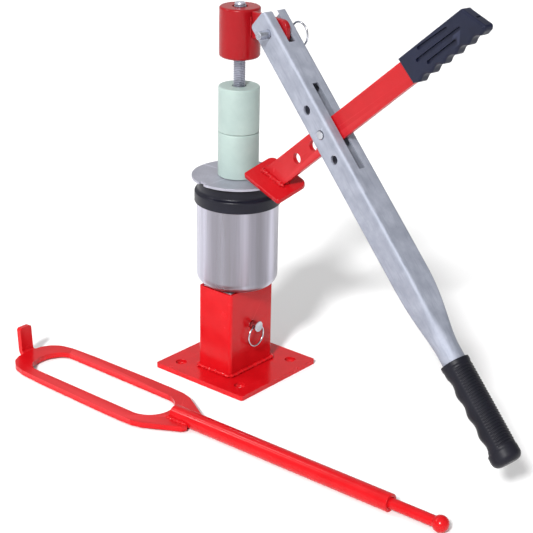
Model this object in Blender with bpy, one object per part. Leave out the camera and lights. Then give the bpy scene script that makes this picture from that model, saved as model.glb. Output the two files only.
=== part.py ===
"""Bead breaker stand: base, clamping stack, swivelling lever with breaker arm, and a loose demount bar.

Metres, +Z up. The origin is the centre of the base plate's underside, X runs along the long side
of the rectangular base tube, and every moving piece hangs on an empty that sits on its joint.
"""

import math

import bmesh
import bpy
from mathutils import Matrix, Vector

GAP = 0.0003            # running and resting clearance between pieces
BOLD_GAP = 0.0005       # clearance of pins in their holes

# Base
PLATE_SIDE = 0.135
PLATE_THICK = 0.006
PLATE_CORNER = 0.003
PLATE_HOLE_PITCH = 0.0924
PLATE_HOLE_RADIUS = 0.0066
TUBE_LONG = 0.0755
TUBE_SHORT = 0.050
TUBE_SHIFT = -0.0012         # the tube stands this far off the middle, along its long side
TUBE_WALL = 0.003
TUBE_TOP = 0.1096
WELD_LEG = 0.005
POST_WALL = 0.0025
POST_LOW = 0.020
POST_TOP = 0.104
CAP_TOP = 0.110

# Clamping stack on the rod
ROD_RADIUS = 0.0068
ROD_LOW = 0.088
ROD_TOP = 0.4408
DRUM_RADIUS = 0.0473
DRUM_WALL = 0.002
DRUM_LOW = CAP_TOP + GAP
DRUM_TOP = 0.2104
DRUM_FILLET = 0.013
RING_RADIUS = 0.0500
RING_SHOULDER = 0.0255      # height of the rubber ring's upright outer face and shoulder
DISC_RADIUS = 0.0531
DISC_THICK = 0.0027
DISC_TOP = 0.2417
DISC_NOTCH_ANGLE = math.radians(169.0)
SPACER_RADIUS = 0.0234
SPACER_BORE = 0.0078
SPACER_HEIGHT = 0.0523
HUB_RADIUS = 0.0231
HUB_LOW = 0.3795
HUB_TOP = 0.4361
HUB_BORE = 0.0160
HUB_ROOF = 0.0068
HUB_ROD_HOLE = 0.0086

# Lever: a vertical swing plane that leaves the rod's axis at this heading and slopes down
HEADING = math.radians(-100.1)
SLOPE = math.radians(43.9)
PIN_REACH = 0.0667          # clevis pin from the rod's axis
PIN_HEIGHT = 0.4197
PIN_OFFSET = 0.005          # clevis pin above the lever's centre line
PIN_RADIUS = 0.0046
LUG_THICK = 0.006
LUG_OUT = 0.0150
LUG_UP = 0.0148
LEVER_SIDE = 0.0315
LEVER_WALL = 0.0025
LEVER_CORNER = 0.0038
LEVER_BACK = 0.0225         # lever's upper end behind the clevis pin
TAPER_START = 0.300         # distances along the lever from the clevis pin
TAPER_END = 0.388
LEVER_FRONT = 0.503
ROUND_RADIUS = 0.0125
LEVER_GRIP_START = 0.3985
LEVER_GRIP_END = 0.513
LEVER_GRIP_RADIUS = 0.0150
SIDE_HOLE_PITCH = 0.031
SIDE_HOLE_RADIUS = 0.0052
SLOT_WIDTH = 0.008
SLOT_START = 0.072
SLOT_END = 0.1785
UNDER_SLOT_START = 0.100     # the slot under the lever only clears the arm
UNDER_SLOT_END = 0.1455
CHEEK_LOW_RADIUS = 0.008
CHEEK_TOP_RADIUS = 0.005
END_SLOT = 0.0195

# Breaker arm, about its pivot in the lever
PIVOT_ALONG = 0.1252
PIVOT_ACROSS = -0.004
ARM_LEAN = math.radians(6.9)
ARM_BACK = 0.0135
ARM_FRONT = 0.0149
ARM_FRONT_TOP = 0.0128
ARM_TONGUE = 0.0085
ARM_THICK = 0.005
ARM_UP = 0.243
ARM_DOWN = 0.135
ARM_HOLE_PITCH = 0.033
ARM_HOLE_RADIUS = 0.0060
ARM_GRIP_START = 0.1415
ARM_GRIP_END = 0.2580
GRIP_BUMP_START = 0.1525
GRIP_BUMP_PITCH = 0.0193
SHOE_LENGTH = 0.062
SHOE_WIDTH = 0.0425
SHOE_THICK = 0.006
SHOE_CENTRE = (0.0036, 0.0, -0.1133)
SHOE_TILT = math.radians(-36.1)
SHOE_TWIST = math.radians(20.5)

# Locking pin through the base tube and the post
LOCK_HEIGHT = 0.0613
LOCK_RADIUS = 0.0046
LOCK_OUT = 0.0352          # the head's face, from the tube's middle
LOCK_HEAD_RADIUS = 0.0066
LOCK_HEAD_THICK = 0.0018
LOCK_RING_AT = 0.0046       # the ring's cross hole, behind the head's face
RING_WIRE = 0.0011
CLEVIS_RING_AT = 0.0178      # the ring's cross hole, along the clevis pin
CLEVIS_RING_TURN = math.radians(-81.4)
RING_REACH = 0.0130         # pull ring's radius to the middle of its wire

# Demount bar on the floor
BAR_PLACE = (-0.148, -0.394, 0.0)
BAR_HEADING = math.radians(90.7)
BAR_TUBE_RADIUS = 0.0098
BAR_SHAFT_RADIUS = 0.0060
BAR_BALL_RADIUS = 0.0090
BAR_TUBE_START = 0.059      # distances along the bar from the ball's centre
BAR_TUBE_END = 0.352
BAR_PLATE_THICK = 0.0063
BAR_PLATE_LOW = 0.0022
LOOP_SKEW = math.radians(-0.9)
LOOP_TIP = 0.324
LOOP_NOTCH = 0.353
LOOP_HOLE_START = 0.362
LOOP_HOLE_END = 0.5700
LOOP_HOLE_HALF = 0.0280
LOOP_BEND = 0.5920
TAB_BEND_RADIUS = 0.003
TAB_BEND = math.radians(86.0)
TAB_END = 0.6245
TAB_HALF = 0.0087


def material(name, colour, roughness, metallic=0.0):
    """A Principled material of one colour."""
    made = bpy.data.materials.new(name)
    made.use_nodes = True
    shader = made.node_tree.nodes["Principled BSDF"]
    shader.inputs["Base Color"].default_value = (*colour, 1.0)
    shader.inputs["Roughness"].default_value = roughness
    shader.inputs["Metallic"].default_value = metallic
    made.diffuse_color = (*colour, 1.0)
    return made


def empty(name, matrix, parent=None):
    """A joint's frame: its origin is on the joint's axis."""
    frame = bpy.data.objects.new(name, None)
    frame.empty_display_size = 0.02
    bpy.context.scene.collection.objects.link(frame)
    frame.parent = parent
    frame.matrix_basis = matrix
    return frame


def node(name, shape, finish, parent=None, place=None):
    """Turns a bmesh into a named object with its faces pointing out."""
    bmesh.ops.recalc_face_normals(shape, faces=shape.faces)
    if shape.calc_volume(signed=True) < 0.0:
        bmesh.ops.reverse_faces(shape, faces=shape.faces)
    mesh = bpy.data.meshes.new(name)
    shape.to_mesh(mesh)
    shape.free()
    thing = bpy.data.objects.new(name, mesh)
    bpy.context.scene.collection.objects.link(thing)
    mesh.materials.append(finish)
    mesh.shade_smooth()
    mesh.set_sharp_from_angle(angle=math.radians(35.0))
    thing.parent = parent
    if place is not None:
        thing.matrix_basis = place
    return thing


def cut(target, shape, place=None):
    """Takes a shape, given in the target's own frame, out of the target."""
    tool = node("cutter_" + target.name, shape, target.data.materials[0])
    tool.parent = target.parent
    tool.matrix_basis = target.matrix_basis @ (place or Matrix.Identity(4))
    tool.hide_render = True
    tool.display_type = "WIRE"
    step = target.modifiers.new("cut", "BOOLEAN")
    step.operation = "DIFFERENCE"
    step.solver = "EXACT"
    step.object = tool


def at(x=0.0, y=0.0, z=0.0):
    """A shift."""
    return Matrix.Translation((x, y, z))


def turn(angle, axis):
    """A turn about one axis."""
    return Matrix.Rotation(angle, 4, axis)


def arc(centre, radius, start, end, steps):
    """Points along an arc, with angles in degrees."""
    points = []
    for i in range(steps + 1):
        angle = math.radians(start + (end - start) * i / steps)
        points.append((centre[0] + radius * math.cos(angle), centre[1] + radius * math.sin(angle)))
    return points


def rounded_outline(half_x, half_y, corners, steps=4):
    """A rectangle's outline whose four corners, from +X +Y anticlockwise, have their own radii."""
    points = []
    for quarter, radius in enumerate(corners):
        sign_x = 1 if quarter in (0, 3) else -1
        sign_y = 1 if quarter in (0, 1) else -1
        centre = (sign_x * (half_x - radius), sign_y * (half_y - radius))
        points += arc(centre, radius, 90.0 * quarter, 90.0 * quarter + 90.0, steps)
    return points


def prism(outline, low, high):
    """A flat outline in X and Y raised from low to high."""
    shape = bmesh.new()
    face = shape.faces.new([shape.verts.new((x, y, low)) for x, y in outline])
    raised = bmesh.ops.extrude_face_region(shape, geom=[face])
    tops = [item for item in raised["geom"] if isinstance(item, bmesh.types.BMVert)]
    bmesh.ops.translate(shape, verts=tops, vec=(0.0, 0.0, high - low))
    return shape


def soft_edges(shape, width, segments=2, sharper_than=50.0):
    """Rounds the edges that are sharper than an angle."""
    bmesh.ops.recalc_face_normals(shape, faces=shape.faces)
    limit = math.radians(sharper_than)
    edges = [edge for edge in shape.edges if edge.calc_face_angle(0.0) > limit]
    bmesh.ops.bevel(shape, geom=edges, offset=width, segments=segments, profile=0.5,
                    affect="EDGES", clamp_overlap=True)
    return shape


def block(size_x, size_y, size_z, place=None):
    """A box centred on the frame, or moved by place."""
    shape = prism(rounded_box(size_x, size_y), -size_z / 2, size_z / 2)
    if place is not None:
        shape.transform(place)
    return shape


def rounded_box(size_x, size_y):
    """The four corners of a rectangle."""
    x, y = size_x / 2, size_y / 2
    return [(x, y), (-x, y), (-x, -y), (x, -y)]


def rod(radius, low, high, axis="Z", sides=24):
    """A round bar along an axis."""
    shape = prism(arc((0.0, 0.0), radius, 0.0, 360.0, sides)[:-1], low, high)
    if axis == "Y":
        shape.transform(turn(math.radians(-90.0), "X"))
    if axis == "X":
        shape.transform(turn(math.radians(90.0), "Y"))
    return shape


def turned(profile, sides=48):
    """A closed ring made by turning a closed (radius, height) outline about Z; radius 0 is the axis."""
    shape = bmesh.new()
    rings = []
    for radius, height in profile:
        if radius < 1e-6:
            rings.append([shape.verts.new((0.0, 0.0, height))] * sides)
            continue
        ring = []
        for i in range(sides):
            angle = 2 * math.pi * i / sides
            ring.append(shape.verts.new((radius * math.cos(angle), radius * math.sin(angle), height)))
        rings.append(ring)
    for first, second in zip(rings, rings[1:] + rings[:1]):
        for i in range(sides):
            j = (i + 1) % sides
            corners = []
            for vert in (first[i], first[j], second[j], second[i]):
                if vert not in corners:
                    corners.append(vert)
            if len(corners) > 2:
                shape.faces.new(corners)
    return shape


def skin(sections):
    """Joins closed sections of equal point counts, the last one back to the first."""
    shape = bmesh.new()
    rings = [[shape.verts.new(point) for point in section] for section in sections]
    count = len(rings[0])
    for first, second in zip(rings, rings[1:] + rings[:1]):
        for i in range(count):
            j = (i + 1) % count
            shape.faces.new((first[i], first[j], second[j], second[i]))
    return shape


def pull_ring():
    """A round wire ring in the XZ plane that hangs from the frame's origin."""
    profile = arc((RING_REACH, 0.0), RING_WIRE, 0.0, 360.0, 6)[:-1]
    shape = turned(profile, 24)
    shape.transform(turn(math.radians(90.0), "X"))
    shape.transform(at(z=-RING_REACH + 0.0004))
    return shape


def hex_nut(across_flats, low, high, bore):
    """A plain hexagon nut about Z."""
    corner = across_flats / math.sqrt(3.0)
    outer = arc((0.0, 0.0), corner, 0.0, 360.0, 6)[:-1]
    return prism(outer, low, high), rod(bore, low - 0.001, high + 0.001)


def weld_collar(half_x, half_y, corner, leg):
    """A three-cornered bead that runs round an upright tube's foot, standing on z = 0."""
    inner_low = [(x, y, 0.0) for x, y in rounded_outline(half_x, half_y, [corner] * 4)]
    outer = [(x, y, 0.0) for x, y in rounded_outline(half_x + leg, half_y + leg, [corner + leg] * 4)]
    inner_high = [(x, y, leg) for x, y, _ in inner_low]
    return skin([inner_low, outer, inner_high])


def make_base(red, zinc, steel, rubber, nylon):
    """The root: plate, tube, post, drum and rod, with the fasteners that hold them together."""
    half = PLATE_SIDE / 2
    outline = rounded_outline(half, half, [PLATE_CORNER] * 4)
    plate = node("base_plate", soft_edges(prism(outline, 0.0, PLATE_THICK), 0.0008, 1), red)
    reach = PLATE_HOLE_PITCH / 2
    for x in (-reach, reach):
        for y in (-reach, reach):
            cut(plate, rod(PLATE_HOLE_RADIUS, -0.01, 0.02), at(x, y))

    low = PLATE_THICK + GAP
    half_x, half_y = TUBE_LONG / 2, TUBE_SHORT / 2
    outer = rounded_outline(half_x, half_y, [0.0035] * 4, 3)
    inner = rounded_outline(half_x - TUBE_WALL, half_y - TUBE_WALL, [0.0015] * 4, 3)
    sections = [[(x, y, low) for x, y in outer], [(x, y, TUBE_TOP) for x, y in outer],
                [(x, y, TUBE_TOP) for x, y in inner], [(x, y, low) for x, y in inner]]
    tube = node("base_tube", skin(sections), red, place=at(TUBE_SHIFT))
    cut(tube, rod(LOCK_RADIUS + BOLD_GAP, -0.04, 0.04, "Y"), at(-TUBE_SHIFT, 0.0, LOCK_HEIGHT))
    bead = weld_collar(half_x + GAP, half_y + GAP, 0.0035, WELD_LEG)
    node("base_weld", bead, red, place=at(TUBE_SHIFT, 0.0, low))

    post_x, post_y = half_x - TUBE_WALL - BOLD_GAP, half_y - TUBE_WALL - BOLD_GAP
    outer = rounded_outline(post_x, post_y, [0.003] * 4, 3)
    inner = rounded_outline(post_x - POST_WALL, post_y - POST_WALL, [0.0012] * 4, 3)
    sections = [[(x, y, POST_LOW) for x, y in outer], [(x, y, POST_TOP) for x, y in outer],
                [(x, y, POST_TOP) for x, y in inner], [(x, y, POST_LOW) for x, y in inner]]
    post = node("inner_post", skin(sections), zinc, place=at(TUBE_SHIFT))
    cut(post, rod(LOCK_RADIUS + BOLD_GAP, -0.04, 0.04, "Y"), at(-TUBE_SHIFT, 0.0, LOCK_HEIGHT))
    cap = node("post_cap", prism(outer, POST_TOP + GAP, CAP_TOP), zinc, place=at(TUBE_SHIFT))
    cut(cap, rod(ROD_RADIUS + GAP, 0.09, 0.12), at(-TUBE_SHIFT))

    make_drum(steel, rubber)
    node("threaded_rod", rod(ROD_RADIUS, ROD_LOW, ROD_TOP), zinc)
    washer_low = DRUM_LOW + DRUM_WALL + GAP
    for name, low, high in (("rod_nut_lower", 0.0925, POST_TOP), ("rod_nut_upper", 0.1157, 0.1267)):
        body, bore = hex_nut(0.022, low, high, ROD_RADIUS + GAP)
        cut(node(name, body, zinc), bore)
    ring = turned([(ROD_RADIUS + GAP, washer_low), (0.014, washer_low), (0.014, washer_low + 0.0025),
                   (ROD_RADIUS + GAP, washer_low + 0.0025)], 32)
    node("rod_washer", ring, zinc)
    nut_low = HUB_TOP - HUB_ROOF - 0.0125
    body, bore = hex_nut(0.022, nut_low, nut_low + 0.009, ROD_RADIUS + GAP)
    cut(node("hub_nut", body, zinc), bore)
    bush_low = nut_low + 0.009 + GAP
    bush_high = HUB_TOP - HUB_ROOF - GAP
    bush = turned([(ROD_RADIUS + GAP, bush_low), (0.0145, bush_low), (0.0145, bush_high),
                   (ROD_RADIUS + GAP, bush_high)], 32)
    node("hub_bush", bush, nylon)


def make_drum(steel, rubber):
    """The pressed steel drum, open at the top, and the moulded rubber ring on its rim."""
    fillet_centre = (DRUM_RADIUS - DRUM_FILLET, DRUM_LOW + DRUM_FILLET)
    outside = arc(fillet_centre, DRUM_FILLET, -90.0, 0.0, 5)
    inside = arc(fillet_centre, DRUM_FILLET - DRUM_WALL, 0.0, -90.0, 3)
    profile = [(ROD_RADIUS + GAP, DRUM_LOW)] + outside + [(DRUM_RADIUS, DRUM_TOP)]
    profile += [(DRUM_RADIUS - DRUM_WALL, DRUM_TOP)] + inside
    profile += [(ROD_RADIUS + GAP, DRUM_LOW + DRUM_WALL)]
    node("drum", turned(profile, 48), steel)

    low = DRUM_TOP + GAP
    lip = DRUM_RADIUS - DRUM_WALL - BOLD_GAP
    top = DISC_TOP - DISC_THICK - GAP
    shoulder = low + RING_SHOULDER
    profile = [(0.033, low - 0.008), (lip, low - 0.008), (lip, low), (RING_RADIUS, low)]
    profile += arc((RING_RADIUS - 0.004, low + 0.0125), 0.004, 0.0, 75.0, 4)
    profile += [(RING_RADIUS - 0.0048, shoulder - 0.003), (RING_RADIUS - 0.0075, top), (0.033, top)]
    node("rubber_ring", turned(profile, 48), rubber)


def make_stack(zinc, nylon):
    """The disc and the two spacers, which slide up the rod one on another."""
    disc_frame = empty("disc_slide", at(z=DISC_TOP - DISC_THICK))
    outline = [(SPACER_BORE, 0.0), (DISC_RADIUS, 0.0), (DISC_RADIUS, DISC_THICK), (SPACER_BORE, DISC_THICK)]
    disc = node("disc", turned(outline, 48), zinc, disc_frame)
    notch = block(0.008, 0.009, 0.01, turn(DISC_NOTCH_ANGLE, "Z") @ at(DISC_RADIUS))
    cut(disc, notch)

    chamfer = 0.0015
    parent = disc_frame
    low = DISC_THICK + GAP
    for name in ("spacer_lower", "spacer_upper"):
        parent = empty(name + "_slide", at(z=low), parent)
        top = SPACER_HEIGHT - GAP
        profile = [(SPACER_BORE, 0.0), (SPACER_RADIUS - chamfer / 2, 0.0), (SPACER_RADIUS, chamfer / 2),
                   (SPACER_RADIUS, top - chamfer), (SPACER_RADIUS - chamfer, top), (SPACER_BORE, top)]
        node(name, turned(profile, 36), nylon, parent)
        low = SPACER_HEIGHT


def make_hub(red):
    """The cap on the rod with its welded lug; it swivels about the rod."""
    frame = empty("hub_swivel", turn(HEADING, "Z"))
    rim = 0.0035
    roof = HUB_TOP - HUB_ROOF
    profile = [(HUB_BORE, HUB_LOW)]
    profile += arc((HUB_RADIUS - rim, HUB_LOW + rim), rim, -90.0, 0.0, 3)
    profile += arc((HUB_RADIUS - rim, HUB_TOP - rim), rim, 0.0, 90.0, 4)
    profile += [(HUB_ROD_HOLE, HUB_TOP), (HUB_ROD_HOLE, roof), (HUB_BORE, roof)]
    node("hub", turned(profile, 36), red, frame)

    inner = HUB_RADIUS + GAP - PIN_REACH
    outline = [(inner, -LUG_UP), (inner, LUG_UP)]
    outline += arc((LUG_OUT - 0.009, LUG_UP - 0.009), 0.009, 90.0, 0.0, 4)
    outline += arc((LUG_OUT - 0.013, 0.013 - LUG_UP), 0.013, 0.0, -90.0, 4)
    shape = prism(outline, -LUG_THICK / 2, LUG_THICK / 2)
    shape.transform(turn(math.radians(90.0), "X"))
    pin_place = at(PIN_REACH, 0.0, PIN_HEIGHT)
    lug = node("hub_lug", shape, red, frame, pin_place)
    cut(lug, rod(PIN_RADIUS + BOLD_GAP, -0.02, 0.02, "Y"))

    start = LUG_THICK / 2 + GAP
    for side, name in ((1, "lug_weld_far"), (-1, "lug_weld_near")):
        leg = 0.0035
        rim_reach = math.sqrt(HUB_RADIUS ** 2 - start ** 2) + 2 * GAP
        foot = math.sqrt(HUB_RADIUS ** 2 - (start + leg) ** 2) + 2 * GAP
        outline = [(rim_reach, side * start), (rim_reach + leg, side * start), (foot, side * (start + leg))]
        bead = prism(outline, PIN_HEIGHT - LUG_UP + 0.001, HUB_TOP - 0.005)
        node(name, bead, red, frame)
    return frame


def make_pins(zinc, chrome, hub_frame):
    """The clevis pin of the lever and the locking pin of the base, each with a hanging pull ring."""
    clevis_frame = empty("clevis_pin_slide", at(PIN_REACH, 0.0, PIN_HEIGHT), hub_frame)
    hinge = at(y=CLEVIS_RING_AT) @ turn(CLEVIS_RING_TURN, "Y")
    shape = soft_edges(rod(PIN_RADIUS, -0.0299, 0.0203, "Y", 20), 0.001, 1)
    clevis = node("clevis_pin", shape, zinc, clevis_frame)
    cut(clevis, rod(0.0020, -0.02, 0.02, "X", 16), hinge)
    cut(clevis, rod(0.0013, -0.01, 0.01, "Z", 12), at(y=-0.0262))
    ring_frame = empty("clevis_ring_hinge", hinge, clevis_frame)
    node("clevis_ring", pull_ring(), chrome, ring_frame)

    lock_frame = empty("lock_pin_slide", at(z=LOCK_HEIGHT))
    back = TUBE_SHORT / 2 + 0.004
    head = LOCK_HEAD_THICK
    profile = [(0.0, 0.0), (LOCK_HEAD_RADIUS - 0.0006, 0.0), (LOCK_HEAD_RADIUS, 0.0006),
               (LOCK_HEAD_RADIUS, head), (LOCK_RADIUS, head), (LOCK_RADIUS, LOCK_OUT + back - 0.001),
               (LOCK_RADIUS - 0.001, LOCK_OUT + back), (0.0, LOCK_OUT + back)]
    place = at(y=-LOCK_OUT) @ turn(math.radians(-90.0), "X")
    lock = node("lock_pin", turned(profile, 24), zinc, lock_frame, place)
    hinge = at(y=LOCK_RING_AT - LOCK_OUT)
    cut(lock, rod(0.0020, -0.02, 0.02, "X", 16), at(z=LOCK_RING_AT))
    ring_frame = empty("lock_ring_hinge", hinge, lock_frame)
    node("lock_ring", pull_ring(), chrome, ring_frame)


def lever_section(along, half, corner, drop):
    """One section of the lever's tube, in YZ; a corner as large as half makes it round."""
    outline = rounded_outline(half, half, [corner] * 4, 4)
    return [(along, y, z - drop - PIN_OFFSET) for y, z in outline]


def lever_sections(inset):
    """The lever tube's sections from its upper end to its lower, shrunk by inset."""
    half = LEVER_SIDE / 2
    sections = [lever_section(-LEVER_BACK, half - inset, LEVER_CORNER - inset * 0.8, 0.0)]
    steps = 5
    for i in range(steps + 1):
        share = i / steps
        ease = share * share * (3.0 - 2.0 * share)
        along = TAPER_START + (TAPER_END - TAPER_START) * share
        size = half + (ROUND_RADIUS - half) * ease
        corner = LEVER_CORNER + (ROUND_RADIUS - LEVER_CORNER) * min(1.0, ease * 1.4)
        corner = min(corner, size - 1e-5)
        sections.append(lever_section(along, size - inset, max(corner - inset, 0.0007), half - size))
    end_round = ROUND_RADIUS - 1e-5 - inset
    sections.append(lever_section(LEVER_FRONT, ROUND_RADIUS - inset, end_round, half - ROUND_RADIUS))
    return sections


def cheek_corner(radius, side):
    """What is taken off the upper (1) or lower (-1) corner of the cheeks to round it."""
    edge = side * LEVER_SIDE / 2 - PIN_OFFSET
    middle = (radius - LEVER_BACK, edge - side * radius)
    outline = arc(middle, radius + 0.0002, 180.0, 180.0 - side * 90.0, 5)
    outline += [(middle[0], edge + side * 0.01), (-LEVER_BACK - 0.01, edge + side * 0.01)]
    outline += [(-LEVER_BACK - 0.01, middle[1])]
    shape = prism(outline, -0.03, 0.03)
    shape.transform(turn(math.radians(90.0), "X"))
    return shape


def make_lever(hub_frame, zinc, rubber):
    """The square lever, tapering to a round end with its grip; it swings about the clevis pin."""
    frame = empty("lever_swing", at(PIN_REACH, 0.0, PIN_HEIGHT) @ turn(SLOPE, "Y"), hub_frame)
    tube = node("lever_tube", skin(lever_sections(0.0) + lever_sections(LEVER_WALL)[::-1]), zinc, frame)
    cut(tube, rod(PIN_RADIUS + BOLD_GAP, -0.03, 0.03, "Y"))
    for i, depth in ((-1, 0.0), (0, 0.03), (1, 0.0)):
        place = at(PIVOT_ALONG + i * SIDE_HOLE_PITCH, 0.0, PIVOT_ACROSS)
        cut(tube, rod(SIDE_HOLE_RADIUS, -0.03, depth, "Y"), place)
    for start, end, side in ((SLOT_START, SLOT_END, 1), (UNDER_SLOT_START, UNDER_SLOT_END, -1)):
        cut(tube, block(end - start, SLOT_WIDTH, 0.03, at((start + end) / 2, 0.0, side * 0.015 - PIN_OFFSET)))
    end_length = END_SLOT + LEVER_BACK + 0.01
    end_middle = (END_SLOT - LEVER_BACK - 0.01) / 2
    cut(tube, block(end_length, SLOT_WIDTH + 0.001, 0.05, at(end_middle, 0.0, -PIN_OFFSET)))
    cut(tube, cheek_corner(CHEEK_LOW_RADIUS, -1))
    cut(tube, cheek_corner(CHEEK_TOP_RADIUS, 1))

    drop = LEVER_SIDE / 2 - ROUND_RADIUS + PIN_OFFSET
    bore = ROUND_RADIUS + GAP
    length = LEVER_GRIP_END - LEVER_GRIP_START
    outer = LEVER_GRIP_RADIUS
    floor = LEVER_FRONT - LEVER_GRIP_START + GAP
    profile = [(bore, 0.0), (outer + 0.0006, 0.0), (outer + 0.0006, 0.004), (outer, 0.006)]
    profile += [(outer, length - 0.016), (outer + 0.0015, length - 0.013)]
    profile += arc((outer + 0.0015 - 0.008, length - 0.008), 0.008, 0.0, 90.0, 4)
    profile += [(0.0, length), (0.0, floor), (bore, floor)]
    place = at(LEVER_GRIP_START, 0.0, -drop) @ turn(math.radians(90.0), "Y")
    node("lever_grip", turned(profile, 24), rubber, frame, place)
    return frame


def grip_foot(across):
    """Height of the grip's slanted lower end above the pivot."""
    return ARM_GRIP_START + 0.17 * across


def arm_outline():
    """The breaker arm's edge line in its own plane: shoe end, shoulders, tongue inside the grip."""
    outline = [(-ARM_BACK, -ARM_DOWN), (ARM_FRONT, -ARM_DOWN)]
    for across in (ARM_FRONT_TOP, ARM_TONGUE):
        outline.append((across, grip_foot(across) - GAP))
    outline += [(ARM_TONGUE, ARM_UP), (-ARM_TONGUE, ARM_UP)]
    for across in (-ARM_TONGUE, -ARM_BACK):
        outline.append((across, grip_foot(across) - GAP))
    return outline


def grip_outline():
    """The flat grip's edge line: straight behind, with finger bumps in front and a slanted end."""
    back, front = -0.0165, 0.0142
    outline = [(back, grip_foot(back)), (front - 0.001, grip_foot(front))]
    steps = 5 * 5
    for i in range(steps + 1):
        along = GRIP_BUMP_START + GRIP_BUMP_PITCH * i / 5
        outline.append((front + 0.0016 * math.cos(math.tau * i / 5), along))
    outline += arc((front - 0.004, ARM_GRIP_END - 0.004), 0.005, 0.0, 90.0, 3)
    outline += [(back + 0.004, ARM_GRIP_END - 0.0145), (back, ARM_GRIP_END - 0.0185)]
    return outline


def make_arm(lever_frame, red, rubber, zinc):
    """The flat breaker arm with its shoe and grip; it swings about the pivot pin in the lever."""
    place = at(PIVOT_ALONG, 0.0, PIVOT_ACROSS) @ turn(ARM_LEAN, "Y")
    frame = empty("arm_swing", place, lever_frame)
    upright = turn(math.radians(90.0), "X")
    shape = prism(arm_outline(), -ARM_THICK / 2, ARM_THICK / 2)
    shape.transform(upright)
    arm = node("breaker_arm", shape, red, frame)
    for i in range(3):
        radius = SIDE_HOLE_RADIUS if i == 0 else ARM_HOLE_RADIUS
        cut(arm, rod(radius, -0.02, 0.02, "Y"), at(z=-i * ARM_HOLE_PITCH))

    shoe_place = Matrix.Translation(SHOE_CENTRE) @ turn(SHOE_TILT, "Y") @ turn(SHOE_TWIST, "X")
    outline = rounded_outline(SHOE_LENGTH / 2, SHOE_WIDTH / 2, (0.008, 0.008, 0.004, 0.004))
    outline = [(x - 0.0025, y - 0.00125) for x, y in outline]
    plate = soft_edges(prism(outline, -SHOE_THICK, 0.0), 0.0008, 1)
    node("shoe_plate", plate, red, frame, shoe_place)
    cut(arm, block(0.2, 0.2, 0.06, at(z=-0.03 + GAP)), shoe_place)
    make_shoe_welds(red, frame)

    shape = soft_edges(prism(grip_outline(), -0.0065, 0.0065), 0.0022, 2, 60.0)
    shape.transform(upright)
    grip = node("arm_grip", shape, rubber, frame)
    depth = ARM_UP + 2 * GAP - ARM_GRIP_START + 0.02
    middle = at(y=ARM_UP + 2 * GAP - depth / 2)
    pocket = block(2 * ARM_TONGUE + 2 * GAP, depth, ARM_THICK + 2 * GAP, middle)
    pocket.transform(upright)
    cut(grip, pocket)

    pin_frame = empty("arm_pin_slide", at(PIVOT_ALONG, 0.0, PIVOT_ACROSS), lever_frame)
    radius = SIDE_HOLE_RADIUS - BOLD_GAP
    half = LEVER_SIDE / 2
    profile = [(0.0, -half - 0.0012), (radius - 0.0006, -half - 0.0012), (radius, -half - 0.0004),
               (radius, half + GAP), (radius + 0.0028, half + GAP), (radius + 0.0028, half + 0.003),
               (radius + 0.0018, half + 0.004), (0.0, half + 0.004)]
    node("arm_pin", turned(profile, 24), zinc, pin_frame, turn(math.radians(-90.0), "X"))
    return frame


def make_shoe_welds(red, frame):
    """The two fillets that join the arm's lower end to the shoe."""
    along = (ARM_BACK + ARM_FRONT + 0.004) / math.cos(SHOE_TILT)
    leg = 0.0042
    for side, name in ((1, "shoe_weld_far"), (-1, "shoe_weld_near")):
        spread = side * math.tan(SHOE_TWIST)
        start = ARM_THICK / 2 + GAP
        outline = [(0.0, start), (0.0, start + leg), (leg, start)]
        low = [(-along / 2, side * y, z + max(spread, 0.0) * y) for z, y in outline]
        shape = bmesh.new()
        ends = []
        for shift in (0.0, along):
            ends.append([shape.verts.new((x + shift, y, z + 2 * GAP)) for x, y, z in low])
        shape.faces.new(ends[0])
        shape.faces.new(ends[1][::-1])
        for i in range(3):
            j = (i + 1) % 3
            shape.faces.new((ends[0][i], ends[0][j], ends[1][j], ends[1][i]))
        if side < 0:
            shape.transform(turn(SHOE_TWIST, "X"))
        place = Matrix.Translation(SHOE_CENTRE) @ turn(SHOE_TILT, "Y") @ at(-0.0036)
        node(name, shape, red, frame, place)


def loop_outline():
    """The demount bar's flat blank, from the tube's notch round the loop to the tab."""
    half = BAR_TUBE_RADIUS + GAP
    tip_half = 0.0172
    side = [(LOOP_NOTCH, half), (LOOP_TIP, half), (LOOP_TIP, tip_half - 0.004), (LOOP_TIP + 0.002, tip_half)]
    side += [(0.366, 0.0400), (0.378, 0.0433), (0.396, 0.0443), (0.430, 0.0443), (0.5235, 0.0425), (0.5595, 0.0405)]
    side += [(0.5760, 0.0365), (0.5860, 0.0280), (0.5910, 0.0180), (0.5920, TAB_HALF + 0.002), (0.5935, TAB_HALF)]
    side += [(TAB_END - 0.003, TAB_HALF), (TAB_END, TAB_HALF - 0.003)]
    return side + [(x, -y) for x, y in reversed(side)]


def loop_hole():
    """The loop's finger-wide opening, a long slot with round ends."""
    far = LOOP_HOLE_END - 0.020
    near = LOOP_HOLE_START + LOOP_HOLE_HALF
    end = [(far + 0.020 * math.cos(a), LOOP_HOLE_HALF * math.sin(a)) for a in
           [math.radians(-90.0 + 180.0 * i / 8) for i in range(9)]]
    return end + arc((near, 0.0), LOOP_HOLE_HALF, 90.0, 270.0, 8)


def bend_tab(shape):
    """Curls what lies past the bend line upwards, round a cylinder across the bar."""
    arc_length = TAB_BEND_RADIUS * TAB_BEND
    for vert in shape.verts:
        past = vert.co.x - LOOP_BEND
        if past <= 0.0:
            continue
        angle = min(past, arc_length) / TAB_BEND_RADIUS
        straight = max(past - arc_length, 0.0)
        reach = TAB_BEND_RADIUS + BAR_PLATE_THICK - vert.co.z
        vert.co.x = LOOP_BEND + reach * math.sin(angle) + straight * math.cos(angle)
        vert.co.z = TAB_BEND_RADIUS + BAR_PLATE_THICK - reach * math.cos(angle) + straight * math.sin(angle)


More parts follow.
